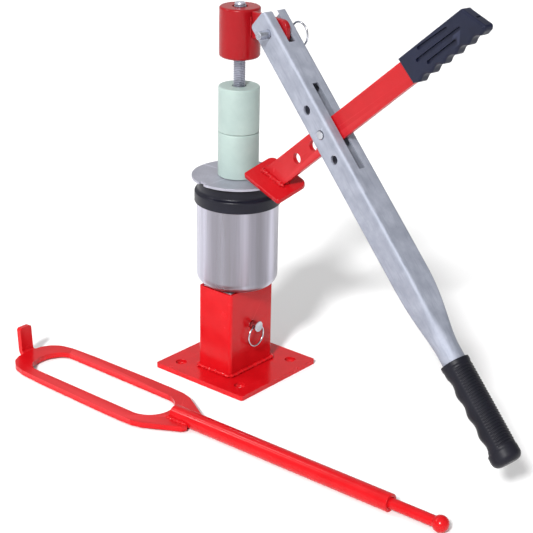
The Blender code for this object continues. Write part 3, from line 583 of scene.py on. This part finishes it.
def make_rubber():
    """The moulded seat: an upright band, a rounded groove and a shoulder under the disc."""
    low = DRUM_TOP + GAP
    top = DISC_TOP - DISC_THICK - GAP
    lip = DRUM_RADIUS - DRUM_WALL - 0.0005
    rim = RING_RADIUS
    profile = [(RING_BORE, low - RING_SUNK), (lip, low - RING_SUNK), (lip, low)]
    profile += arc(rim - 0.0012, low + 0.0012, 0.0012, -90.0, 0.0, 5)
    profile += arc(rim - 0.0020, low + 0.0118, 0.0020, 0.0, 62.0, 6)
    groove = ((0.0030, 0.0144), (0.0038, 0.0156), (0.0040, 0.0172), (0.0036, 0.0186), (0.0038, 0.0206))
    profile += [(rim - inward, low + height) for inward, height in groove]
    profile += arc(rim - 0.0075, top - 0.0036, 0.0036, 0.0, 90.0, 6)
    profile += [(RING_BORE, top)]
    piece("fine_rubber_ring", lathe(profile, 160), "ring_rubber", "base")


def make_rod():
    """The threaded rod with a real helical thread."""
    sides, tip = 40, 0.0006
    turns = int((ROD_TOP - 2 * tip - ROD_LOW) / THREAD_PITCH)
    profile = [(0.00, -THREAD_DEEP), (0.16, -THREAD_DEEP), (0.50, 0.0), (0.66, 0.0)]
    shape = bmesh.new()
    total = turns * sides
    lines = []
    for step in range(total + 1):
        a = math.tau * step / sides
        base = ROD_LOW + THREAD_PITCH * step / sides
        fade = min(1.0, step / sides, (total - step) / sides)
        ring = []
        for share, depth in profile:
            radius = ROD_RADIUS + (depth if depth < 0.0 else depth - THREAD_DEEP * (1.0 - fade))
            height = base + share * THREAD_PITCH
            ring.append(shape.verts.new((radius * math.cos(a), radius * math.sin(a), height)))
        lines.append(ring)
    for step in range(total):
        one, two = lines[step], lines[step + 1]
        for k in range(3):
            shape.faces.new((one[k], two[k], two[k + 1], one[k + 1]))
        if step + sides <= total - 1:
            far, near = lines[step + sides], lines[step + sides + 1]
            shape.faces.new((one[3], two[3], near[0], far[0]))
    core = (ROD_RADIUS - THREAD_DEEP) * 0.97
    rim = [line[3] for line in lines[total - sides:]]
    crown = []
    for step in range(total - sides, total + 1):
        a = math.tau * step / sides
        crown.append(shape.verts.new((core * math.cos(a), core * math.sin(a), ROD_TOP - tip)))
    foot = [line[0] for line in lines[:sides + 1]]
    middle = shape.verts.new((0.0, 0.0, ROD_TOP))
    below = shape.verts.new((0.0, 0.0, ROD_LOW))
    for i in range(sides):
        shape.faces.new((rim[i], rim[i + 1], crown[i + 1], crown[i]))
        shape.faces.new((crown[i], crown[i + 1], middle))
        shape.faces.new((foot[i + 1], foot[i], below))
    bmesh.ops.remove_doubles(shape, verts=shape.verts, dist=0.00001)
    piece("fine_threaded_rod", shape, "rod_zinc", "base")


def make_stack():
    """The notched disc and the two spacers."""
    half = NOTCH_HALF
    notch = soften([(2 * half, half), (-half, half), (-half, -half), (2 * half, -half)], NOTCH_CORNER, 5)
    cutter = moved(prism(notch, -0.01, 0.01), turn(NOTCH_TURN, "Z") @ at(DISC_RADIUS))
    profile = [(SPACER_BORE, 0.0), (DISC_RADIUS, 0.0), (DISC_RADIUS, DISC_THICK), (SPACER_BORE, DISC_THICK)]
    place = at(z=DISC_TOP - DISC_THICK)
    piece("fine_disc", lathe(profile, 160), "disc_plate", "disc", place, cuts=[cutter], bevel=0.0005)
    low, top = DISC_TOP + GAP, SPACER_HEIGHT - GAP
    for name in ("spacer_lower", "spacer_upper"):
        profile = [(SPACER_BORE, 0.0)] + arc(SPACER_RADIUS - 0.0011, 0.0011, 0.0011, -90.0, 0.0, 5)
        profile += arc(SPACER_RADIUS - 0.0018, top - 0.0018, 0.0018, 0.0, 90.0, 7)
        profile += arc(SPACER_BORE + 0.0006, top - 0.0006, 0.0006, 90.0, 180.0, 3)
        piece("fine_" + name, lathe(profile, 128), "nylon", name, at(z=low))
        low += SPACER_HEIGHT


def make_hub():
    """The cap on the rod, its lug and the lug's welds."""
    low_rim, top_rim = 0.0035, 0.0026
    profile = [(HUB_BORE, HUB_LOW)]
    profile += arc(HUB_RADIUS - low_rim, HUB_LOW + low_rim, low_rim, -90.0, 0.0, 10)
    profile += arc(HUB_RADIUS - top_rim, HUB_TOP - top_rim, top_rim, 0.0, 90.0, 10)
    profile += arc(HUB_HOLE + 0.0006, HUB_TOP - 0.0006, 0.0006, 90.0, 180.0, 3)
    profile += [(HUB_HOLE, HUB_TOP - HUB_ROOF), (HUB_BORE, HUB_TOP - HUB_ROOF)]
    piece("fine_hub", lathe(profile, 144), "hub_red_shaded", "hub", HUB)

    inner, high = HUB_RADIUS + GAP - PIN_REACH, LUG_HALF_HIGH
    corners = [(inner, -high), (inner, high), (LUG_OUT, high), (LUG_OUT, -high)]
    shape = prism(soften(corners, [0.0, 0.0, 0.009, 0.013], 10), -LUG_HALF_THICK, LUG_HALF_THICK)
    hole = rod(PIN_RADIUS + PLAY, -0.02, 0.02, "Y")
    piece("fine_hub_lug", moved(shape, UPRIGHT), "hub_red_shaded", "hub", PIN, cuts=[hole], bevel=0.0014)

    # The beads run upright, so they are drawn lying down and their frame stands them up.
    reach = math.sqrt(HUB_RADIUS ** 2 - LUG_WELD_SIDE ** 2) + 0.0012
    place = PIN @ at(-PIN_REACH) @ Matrix(((0, 1, 0, 0), (0, 0, 1, 0), (1, 0, 0, 0), (0, 0, 0, 1)))
    for side, name in ((1, "far"), (-1, "near")):
        start = PIN_HEIGHT - 0.0128
        path = [(start + 0.00045 * i - PIN_HEIGHT, reach, side * LUG_WELD_SIDE) for i in range(50)]
        bead(path, 0.0012, "fine_lug_weld_" + name, "hub", place, ["lug_weld_" + name], closed=False,
             seed=side * 9.0, look="hub_red_shaded")


# ---------------------------------------------------------------- pins
def wire_ring(name, body, place, node):
    """A round wire ring that hangs from place, in its XZ plane."""
    rows = []
    for i in range(120):
        a = math.tau * i / 120
        centre = Vector((RING_REACH * math.sin(a), 0.0, RING_REACH * math.cos(a) - RING_REACH + 0.0004))
        out = Vector((math.sin(a), 0.0, math.cos(a)))
        rows.append([centre + out * RING_WIRE * math.cos(b) + Vector((0.0, RING_WIRE * math.sin(b), 0.0))
                     for b in (math.tau * k / 20 for k in range(20))])
    piece(name, loft(rows, close_rows=True), "bright_pin", body, place, [node], even=False)


def make_pins():
    """The clevis pin and the locking pin, each with its pull ring."""
    tip = 0.001
    profile = [(0.0, PIN_NEAR)] + arc(PIN_RADIUS - tip, PIN_NEAR + tip, tip, -90.0, 0.0, 4)
    profile += arc(PIN_RADIUS - tip, PIN_FAR - tip, tip, 0.0, 90.0, 4) + [(0.0, PIN_FAR)]
    shape = moved(lathe(profile, 64), ALONG_Y)
    hinge = at(y=PIN_EYE_FAR) @ turn(RING_HANG, "Y")
    far_hole = moved(rod(EYE_RADIUS, -0.02, 0.02, "X", 32), hinge)
    near_hole = moved(rod(0.0016, -0.01, 0.01, "Z", 32), at(y=PIN_EYE_NEAR))
    piece("fine_clevis_pin", shape, "pin_zinc", "clevis_pin", PIN, cuts=[far_hole, near_hole],
          bevel=0.0002, segments=2)
    wire_ring("fine_clevis_ring", "clevis_ring", PIN @ hinge, "clevis_ring")

    length = LOCK_OUT + TUBE_Y + 0.004
    profile = [(0.0, 0.0)] + arc(0.0060, 0.0006, 0.0006, -90.0, 0.0, 4)
    profile += arc(0.0063, 0.0015, 0.0003, 0.0, 90.0, 3) + [(LOCK_RADIUS, 0.0018)]
    profile += arc(LOCK_RADIUS - tip, length - tip, tip, 0.0, 90.0, 4) + [(0.0, length)]
    hole = moved(rod(EYE_RADIUS, -0.02, 0.02, "X", 32), at(z=LOCK_EYE))
    place = at(0.0, -LOCK_OUT, LOCK_HEIGHT) @ ALONG_Y
    piece("fine_lock_pin", lathe(profile, 64), "bright_pin", "lock_pin", place, cuts=[hole])
    wire_ring("fine_lock_ring", "lock_ring", at(0.0, LOCK_EYE - LOCK_OUT, LOCK_HEIGHT), "lock_ring")


# ---------------------------------------------------------------- lever
def lever_row(along, half, corner, drop):
    """One section of the lever, drop metres lower than its square part."""
    return [(along, y, z - drop - PIN_OFFSET) for y, z in rectangle(half, half, corner, 8)]


def lever_rows(inset):
    """Sections of the square tube, easing into the round end."""
    square = (LEVER_HALF - inset, LEVER_CORNER - inset * 0.8, 0.0)
    rows = [lever_row(x, *square) for x in (-LEVER_BACK, 0.0, 0.06, 0.12, 0.18, 0.24)]
    for i in range(17):
        share = i / 16
        ease = share * share * (3.0 - 2.0 * share)
        size = LEVER_HALF + (ROUND_RADIUS - LEVER_HALF) * ease
        corner = min(LEVER_CORNER + (ROUND_RADIUS - LEVER_CORNER) * ease ** 2.2, size - 2e-5)
        corner = min(max(corner - inset, 0.0007), size - inset - 2e-5)
        along = TAPER_START + (TAPER_END - TAPER_START) * share
        rows.append(lever_row(along, size - inset, corner, LEVER_HALF - size))
    half = ROUND_RADIUS - inset
    rows.append(lever_row(LEVER_FRONT, half, half - 2e-5, LEVER_HALF - ROUND_RADIUS))
    return rows


def make_lever():
    """The square tube with its pin holes, slots and rounded cheeks, and the grip on it."""
    shape = loft(lever_rows(0.0) + lever_rows(LEVER_WALL)[::-1], close_rows=True)
    cuts = [rod(PIN_RADIUS + 0.0004, -0.03, 0.03, "Y")]
    for i, depth in ((-1, 0.0), (0, 0.03), (1, 0.0)):
        place = at(PIVOT_ALONG + i * SIDE_HOLE_PITCH, 0.0, PIVOT_ACROSS)
        cuts.append(moved(rod(SIDE_HOLE, -0.03, depth, "Y"), place))
    slots = ((0.072, 0.1785, 0.004, -0.005, 0.05),
             (0.100, 0.1455, 0.004, -0.05, -0.005),
             (-0.04, 0.0195, 0.0045, -0.05, 0.05))
    for start, end, half_width, low, high in slots:
        slot = prism(rectangle((end - start) / 2, half_width, 0.0010, 4), low, high)
        cuts.append(moved(slot, at((start + end) / 2)))
    for radius, side in ((0.008, -1), (0.005, 1)):
        edge = side * LEVER_HALF - PIN_OFFSET
        x, z = radius - LEVER_BACK, edge - side * radius
        corner = arc(x, z, radius + 0.0002, 180.0, 180.0 - side * 90.0, 12)
        beyond = edge + side * 0.01
        corner += [(x, beyond), (-LEVER_BACK - 0.01, beyond), (-LEVER_BACK - 0.01, z)]
        cuts.append(moved(prism(corner, -0.03, 0.03), UPRIGHT))
    piece("fine_lever_tube", shape, "lever_zinc", "lever", LEVER, cuts=cuts, bevel=0.00055, segments=2,
          limit=50.0)
    make_lever_grip()


def step_up(x, start, length):
    """0 before start, 1 after start + length, straight between."""
    return min(1.0, max(0.0, (x - start) / length))


def make_lever_grip():
    """The moulded grip: collar, ribs on top, finger scallops below and a rounded end flange."""
    length, tip = GRIP_END - GRIP_START, 0.0075
    sides, spacing = 112, 0.00035
    lip, collar = 0.0008, GRIP_RADIUS + 0.0006
    finger, rib_pitch = 0.0232, 0.0031
    count = int((length - tip) / spacing)
    rows = []
    for i in range(count + 1):
        x = (length - tip) * i / count
        if x < lip:
            base = collar - lip + math.sqrt(max(0.0, lip ** 2 - (lip - x) ** 2))
        elif x < 0.0045:
            base = collar
        else:
            base = collar - 0.0006 * min(1.0, (x - 0.0045) / 0.0015)
        flange = step_up(x, length - 0.0165, 0.0030)
        flange = flange * flange * (3.0 - 2.0 * flange)
        zone = step_up(x, 0.009, 0.006) * min(1.0, max(0.0, (length - 0.015 - x) / 0.005))
        ribbed = step_up(x, 0.0075, 0.001) * min(1.0, max(0.0, (length - 0.0175 - x) / 0.001))
        wave = 0.5 - 0.5 * math.cos(math.tau * (x - 0.0095) / finger)
        row = []
        for k in range(sides):
            a = math.tau * k / sides
            up, out = math.cos(a), math.sin(a)
            radius = base + (0.0012 - 0.0009 * up) * flange
            radius -= 0.0021 * wave * zone * max(0.0, -up + 0.25) ** 0.7
            across = abs(math.atan2(out, up))
            reach = 1.0 / (1.0 + math.exp((math.degrees(across) - 52.0) / 1.6))
            rib = math.sin(math.tau * (x + 0.0016 * math.cos(2.0 * a)) / rib_pitch)
            radius += (0.00055 * math.tanh(2.4 * rib) - 0.00010) * reach * ribbed
            row.append((x, radius * out, radius * up))
        rows.append(row)
    last = rows[-1]
    for i in range(1, 13):
        a = math.radians(90.0 * i / 12)
        shrink, ahead = tip * (1.0 - math.cos(a)), tip * math.sin(a)
        row = []
        for x, y, z in last:
            size = math.hypot(y, z)
            share = (size - shrink) / size
            row.append((x + ahead, y * share, z * share))
        rows.append(row)
    shape = loft(rows, caps=False)
    shape.verts.ensure_lookup_table()
    start, end = shape.verts[:sides], shape.verts[-sides:]
    shape.faces.new(end)

    bore, depth = ROUND_RADIUS + 0.0001, LEVER_FRONT - GRIP_START + GAP
    inner = [round_row(x, radius, sides) for x, radius in ((depth, 0.0005), (depth, bore), (0.0, bore))]
    made = [[shape.verts.new(point) for point in row] for row in inner]
    shape.faces.new(made[0])
    for first, second in zip(made, made[1:] + [start]):
        for i in range(sides):
            j = (i + 1) % sides
            shape.faces.new((first[i], first[j], second[j], second[i]))
    place = LEVER @ at(GRIP_START, 0.0, ROUND_RADIUS - LEVER_HALF - PIN_OFFSET)
    piece("fine_lever_grip", shape, "charcoal_grip", "lever", place, ["lever_grip"], even=False)


# ---------------------------------------------------------------- breaker arm
def grip_foot(across):
    """Where the grip starts along the arm, a little aslant."""
    return ARM_GRIP_START + 0.17 * across


def make_arm():
    """The flat bar, its shoe with two welds, the grip and the pivot pin."""
    corners = [(-ARM_BACK, -ARM_DOWN), (ARM_FRONT, -ARM_DOWN)]
    corners += [(across, grip_foot(across) - GAP) for across in (ARM_FRONT_TOP, ARM_TONGUE)]
    corners += [(ARM_TONGUE, ARM_UP), (-ARM_TONGUE, ARM_UP)]
    corners += [(across, grip_foot(across) - GAP) for across in (-ARM_TONGUE, -ARM_BACK)]
    shape = moved(prism(corners, -ARM_THICK / 2, ARM_THICK / 2), UPRIGHT)
    cuts = []
    for i, radius in enumerate(ARM_HOLES):
        cuts.append(moved(rod(radius, -0.02, 0.02, "Y"), at(z=-i * ARM_HOLE_PITCH)))
    below = moved(block(0.2, 0.2, 0.06), at(z=-0.03 + GAP))
    cuts.append(moved(below, SHOE_ON_ARM))
    piece("fine_breaker_arm", shape, "arm_red_shaded", "arm", ARM, cuts=cuts, bevel=0.0007)

    half_x, half_y = SHOE_LENGTH / 2, SHOE_WIDTH / 2
    corners = [(half_x, half_y), (-half_x, half_y), (-half_x, -half_y), (half_x, -half_y)]
    outline = [(x - 0.0025, y - 0.00125) for x, y in soften(corners, [0.008, 0.008, 0.004, 0.004], 8)]
    piece("fine_shoe_plate", prism(outline, -SHOE_THICK, 0.0), "arm_red_shaded", "arm", SHOE, bevel=0.0012)
    length, rise = (ARM_BACK + ARM_FRONT + 0.004) / math.cos(SHOE_TILT), 0.0012
    for side, name in ((1, "far"), (-1, "near")):
        across = side * 0.0010 + side * ARM_THICK / 2
        path = []
        for i in range(80):
            along = -length / 2 - 0.0036 + length * i / 79
            path.append((along, across, rise + 0.0003 * math.sin(i * 0.7)))
        bead(path, 0.0030, "fine_shoe_weld_" + name, "arm", SHOE, ["shoe_weld_" + name], 0.0042, False,
             side * 4.0, 40, "arm_red_shaded", sink=rise)
    make_arm_grip()

    pin, half = PIN_RADIUS + 0.0001, LEVER_HALF
    profile = [(0.0, -half - 0.0014)] + arc(pin - 0.0008, -half - 0.0006, 0.0008, -90.0, 0.0, 4)
    profile += [(pin, half + GAP), (pin + 0.0028, half + GAP)]
    profile += arc(pin + 0.0018, half + 0.0030, 0.0010, 0.0, 90.0, 4) + [(0.0, half + 0.0040)]
    piece("fine_arm_pin", moved(lathe(profile, 64), ALONG_Y), "bright_pin", "arm_pin", PIVOT)


def make_arm_grip():
    """The flat moulded grip: finger bumps in front, three long grooves on each face."""
    back, front, end = ARM_GRIP_BACK, ARM_GRIP_FRONT, ARM_GRIP_END
    outline = [(back, grip_foot(back)), (front - 0.001, grip_foot(front))]
    for i in range(BUMPS * 12 + 1):
        angle = math.tau * i / 12
        across = front + 0.0016 * math.cos(angle) + 0.0002 * math.cos(2.0 * angle)
        outline.append((across, BUMP_START + BUMP_PITCH * i / 12))
    outline += arc(front - 0.004, end - 0.005, 0.005, 0.0, 90.0, 8)
    outline += [(back + 0.004, end - 0.0145), (back + 0.0012, end - 0.0158), (back, end - 0.0185)]
    shape = moved(rounded_slab(outline, ARM_GRIP_HALF, 0.0026), UPRIGHT)
    grooves = ((0.171, 0.214, -0.0118, -0.0098), (0.163, 0.229, -0.0026, -0.0020),
               (0.175, 0.218, 0.0058, 0.0056))
    radius = 0.0018
    cuts = []
    for face in (-1, 1):
        for start, stop, low, high in grooves:
            half = Vector((high - low, 0.0, stop - start)).length / 2
            outline = arc(half, 0.0, radius, -90.0, 90.0, 8) + arc(-half, 0.0, radius, 90.0, 270.0, 8)
            groove = prism(outline, -0.0024, 0.0040) if face < 0 else prism(outline, -0.0040, 0.0023)
            # The two faces' grooves are a hair apart, so that no two cutters share an edge.
            middle = at((low + high) / 2 + 0.00013 * face, face * ARM_GRIP_HALF,
                        (start + stop) / 2 + 0.00021 * face)
            lean = math.atan2(high - low, stop - start)
            cuts.append(moved(groove, middle @ turn(lean - math.pi / 2, "Y") @ UPRIGHT))
    cuts.append(moved(block(0.0016, 0.0050, 0.0060), at(-0.0017, 0.0, 0.2515)))
    top = ARM_UP + 2 * GAP
    depth = top - ARM_GRIP_START + 0.02
    pocket = block(2 * ARM_TONGUE + 2 * GAP, ARM_THICK + 2 * GAP, depth)
    cuts.append(moved(pocket, at(z=top - depth / 2)))
    piece("fine_arm_grip", shape, "navy_grip", "arm", ARM, cuts=cuts, bevel=0.0004, segments=2, limit=55.0,
          solver="MANIFOLD")


# ---------------------------------------------------------------- demount bar
def bend_up(shape):
    """Bends the plate's end upwards past LOOP_BEND."""
    length = BEND_RADIUS * BEND
    for i in range(9):
        everything = shape.verts[:] + shape.edges[:] + shape.faces[:]
        station = (LOOP_BEND + length * i / 8, 0.0, 0.0)
        bmesh.ops.bisect_plane(shape, geom=everything, plane_co=station, plane_no=(1.0, 0.0, 0.0))
    top = BEND_RADIUS + BAR_THICK
    for vert in shape.verts:
        past = vert.co.x - LOOP_BEND
        if past <= 0.0:
            continue
        angle = min(past, length) / BEND_RADIUS
        straight = max(past - length, 0.0)
        reach = top - vert.co.z
        vert.co.x = LOOP_BEND + reach * math.sin(angle) + straight * math.cos(angle)
        vert.co.z = top - reach * math.cos(angle) + straight * math.sin(angle)


def make_bar():
    """The loose demount bar: looped plate with its tab, tube, ball-ended shaft and weld."""
    half, shoulder, tab = BAR_RADIUS + GAP, 0.0172, 0.0087
    side = [(0.353, half, 0.001), (LOOP_TIP, half, 0.0), (LOOP_TIP, shoulder - 0.004, 0.003),
            (LOOP_TIP + 0.002, shoulder, 0.002), (0.366, 0.0400, 0.010), (0.378, 0.0433, 0.016),
            (0.396, 0.0443, 0.03), (0.430, 0.0443, 0.06), (0.5235, 0.0425, 0.06),
            (0.5595, 0.0405, 0.03), (0.5760, 0.0365, 0.02), (0.5860, 0.0280, 0.012),
            (0.5910, 0.0180, 0.008), (0.5920, tab + 0.002, 0.0012), (0.5935, tab, 0.0),
            (0.6245, tab, 0.0030)]
    side = side + [(x, -y, radius) for x, y, radius in reversed(side)]
    outline = soften([(x, y) for x, y, _ in side], [radius for _, _, radius in side], 5)
    shape = prism(outline, 0.0, BAR_THICK)
    bend_up(shape)
    spread = [math.radians(-90 + 7.5 * i) for i in range(25)]
    hole = [(LOOP_HOLE_TOP + 0.020 * math.cos(a), LOOP_HOLE_HALF * math.sin(a)) for a in spread]
    hole += arc(LOOP_HOLE_LOW, 0.0, LOOP_HOLE_HALF, 90.0, 270.0, 24)
    place = BAR @ at(LOOP_TIP, 0.0, BAR_LOW) @ turn(LOOP_SKEW, "Z") @ at(-LOOP_TIP)
    piece("fine_demount_loop", shape, "red_paint", "demount_bar", place, cuts=[prism(hole, -0.01, 0.02)],
          bevel=0.0010)

    bore = BAR_SHAFT + PLAY
    profile = [(bore, BAR_TUBE_LOW)] + arc(BAR_RADIUS - 0.0008, BAR_TUBE_LOW + 0.0008, 0.0008, -90.0, 0.0, 4)
    profile += arc(BAR_RADIUS - 0.001, BAR_TUBE_TOP - 0.001, 0.001, 0.0, 90.0, 4) + [(bore, BAR_TUBE_TOP)]
    along = BAR @ at(z=BAR_RADIUS) @ ALONG_X
    piece("fine_demount_tube", lathe(profile, 72), "red_paint", "demount_bar", along)
    neck = BAR_BALL * math.sin(math.acos(BAR_SHAFT / BAR_BALL))
    ball = [p for p in arc(0.0, 0.0, BAR_BALL, -90.0, 90.0, 40) if p[1] < neck]
    profile = [(max(x, 0.0), y) for x, y in ball]
    profile += [(BAR_SHAFT, 0.0078), (BAR_SHAFT, BAR_SHAFT_TOP), (0.0, BAR_SHAFT_TOP)]
    piece("fine_demount_shaft", lathe(profile, 72), "red_paint", "demount_bar", along)

    beside, height = BAR_RADIUS + 0.0004, BAR_LOW + BAR_THICK
    one, other = ([(LOOP_TIP + 0.0005 + 0.0005 * i, side * beside, height) for i in range(58)]
                  for side in (1, -1))
    round_end = [(0.3533, beside * math.cos(math.radians(180.0 * k / 40)), height) for k in range(1, 40)]
    path = one + round_end + other[::-1]
    bead(path, 0.0026, "fine_demount_weld", "demount_bar", BAR, ["demount_weld"], 0.0036, False, 2.0, 16)


# ---------------------------------------------------------------- studio
def add_light(name, kind, power, place):
    """A lamp that shines along its own -Z."""
    lamp = bpy.data.lights.new(name, kind)
    lamp.energy = power
    holder = bpy.data.objects.new(name, lamp)
    bpy.context.scene.collection.objects.link(holder)
    holder.matrix_world = place
    return lamp


def facing(direction):
    """A frame whose Z points along direction."""
    return Vector(direction).normalized().to_track_quat("Z", "Y").to_matrix().to_4x4()


def make_light():
    """A soft sky, brighter on the left and behind, one broad key light and two small glints."""
    world = bpy.data.worlds.new("studio")
    world.use_nodes = True
    tree = world.node_tree
    shade = tree.nodes["Background"]
    towards = tree.nodes.new("ShaderNodeTexCoord")
    both = tree.nodes.new("ShaderNodeMath")
    both.operation = "ADD"
    glows = (((-0.85, -0.25, 0.45), -0.6, SKY_LEFT), ((0.75, 0.62, 0.25), 0.35, SKY_BACK))
    for socket, (direction, start, gain) in zip(both.inputs, glows):
        share = tree.nodes.new("ShaderNodeVectorMath")
        share.operation = "DOT_PRODUCT"
        share.inputs[1].default_value = Vector(direction).normalized()
        tree.links.new(towards.outputs["Generated"], share.inputs[0])
        level = tree.nodes.new("ShaderNodeMapRange")
        level.inputs["From Min"].default_value = start
        level.inputs["To Min"].default_value = SKY_LOW / 2
        level.inputs["To Max"].default_value = SKY_LOW / 2 + gain
        tree.links.new(share.outputs["Value"], level.inputs["Value"])
        tree.links.new(level.outputs["Result"], socket)
    tree.links.new(both.outputs["Value"], shade.inputs["Strength"])
    shade.inputs["Color"].default_value = (1.0, 1.0, 1.0, 1.0)
    bpy.context.scene.world = world

    key = add_light("key", "SUN", KEY_POWER, facing(KEY_FROM))
    key.angle = math.radians(KEY_SPREAD)
    for name, direction, power in (("glint_left", (-0.50, 0.59, 0.63), 7.0),
                                   ("glint_top", (-0.22, 0.58, 0.85), 5.0)):
        where = Vector(GLINT_AIM) + Vector(direction).normalized() * GLINT_AWAY
        lamp = add_light(name, "AREA", power, Matrix.Translation(where) @ facing(direction))
        lamp.shape, lamp.size = "DISK", GLINT_SIZE


def make_studio():
    """The main view, a pale floor and the lights."""
    azimuth, elevation, roll = (math.radians(angle) for angle in CAMERA_TURN)
    level = math.cos(elevation)
    back = Vector((math.sin(azimuth) * level, -math.cos(azimuth) * level, math.sin(elevation)))
    right = Vector((math.cos(azimuth), math.sin(azimuth), 0.0))
    up = back.cross(right)
    tilted = right * math.cos(roll) + up * math.sin(roll)
    over = up * math.cos(roll) - right * math.sin(roll)
    lens = bpy.data.cameras.new("camera")
    lens.sensor_width, lens.lens = SENSOR, LENS
    lens.clip_start, lens.clip_end = 0.05, 60.0
    camera = bpy.data.objects.new("camera", lens)
    bpy.context.scene.collection.objects.link(camera)
    spin = Matrix((tilted, over, back)).transposed().to_4x4()
    camera.matrix_world = Matrix.Translation(CAMERA_AT) @ spin
    bpy.context.scene.camera = camera

    floor = bpy.data.meshes.new("floor")
    far = FLOOR_REACH
    floor.from_pydata([(-far, -far, 0), (far, -far, 0), (far, far, 0), (-far, far, 0)], [], [(0, 1, 2, 3)])
    ground = bpy.data.objects.new("floor", floor)
    ground.location.z = -FLOOR_DROP
    bpy.context.scene.collection.objects.link(ground)
    made, tree, shader, where = make_look("pale_floor", (0.95, 0.95, 0.95), 0.75, spec=0.1)
    tone = ramp(tree, speckle(tree, where, 3.0, 3.0), 0.3, 0.7, 0.945, 0.96)
    tree.links.new(tone, shader.inputs["Base Color"])
    floor.materials.append(made)

    make_light()
    bpy.context.scene.view_settings.view_transform = "Standard"


def dress(look, *nodes):
    """Gives a look to CAD pieces that stay as they are, all of them hidden inside."""
    for node in nodes:
        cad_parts[node].data.materials.clear()
        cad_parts[node].data.materials.append(LOOKS[look])


make_stand()
make_stack()
make_hub()
make_pins()
make_lever()
make_arm()
make_bar()
dress("zinc_plate", "rod_nut_lower", "rod_nut_upper", "rod_washer", "hub_nut")
dress("nylon", "hub_bush")
make_studio()
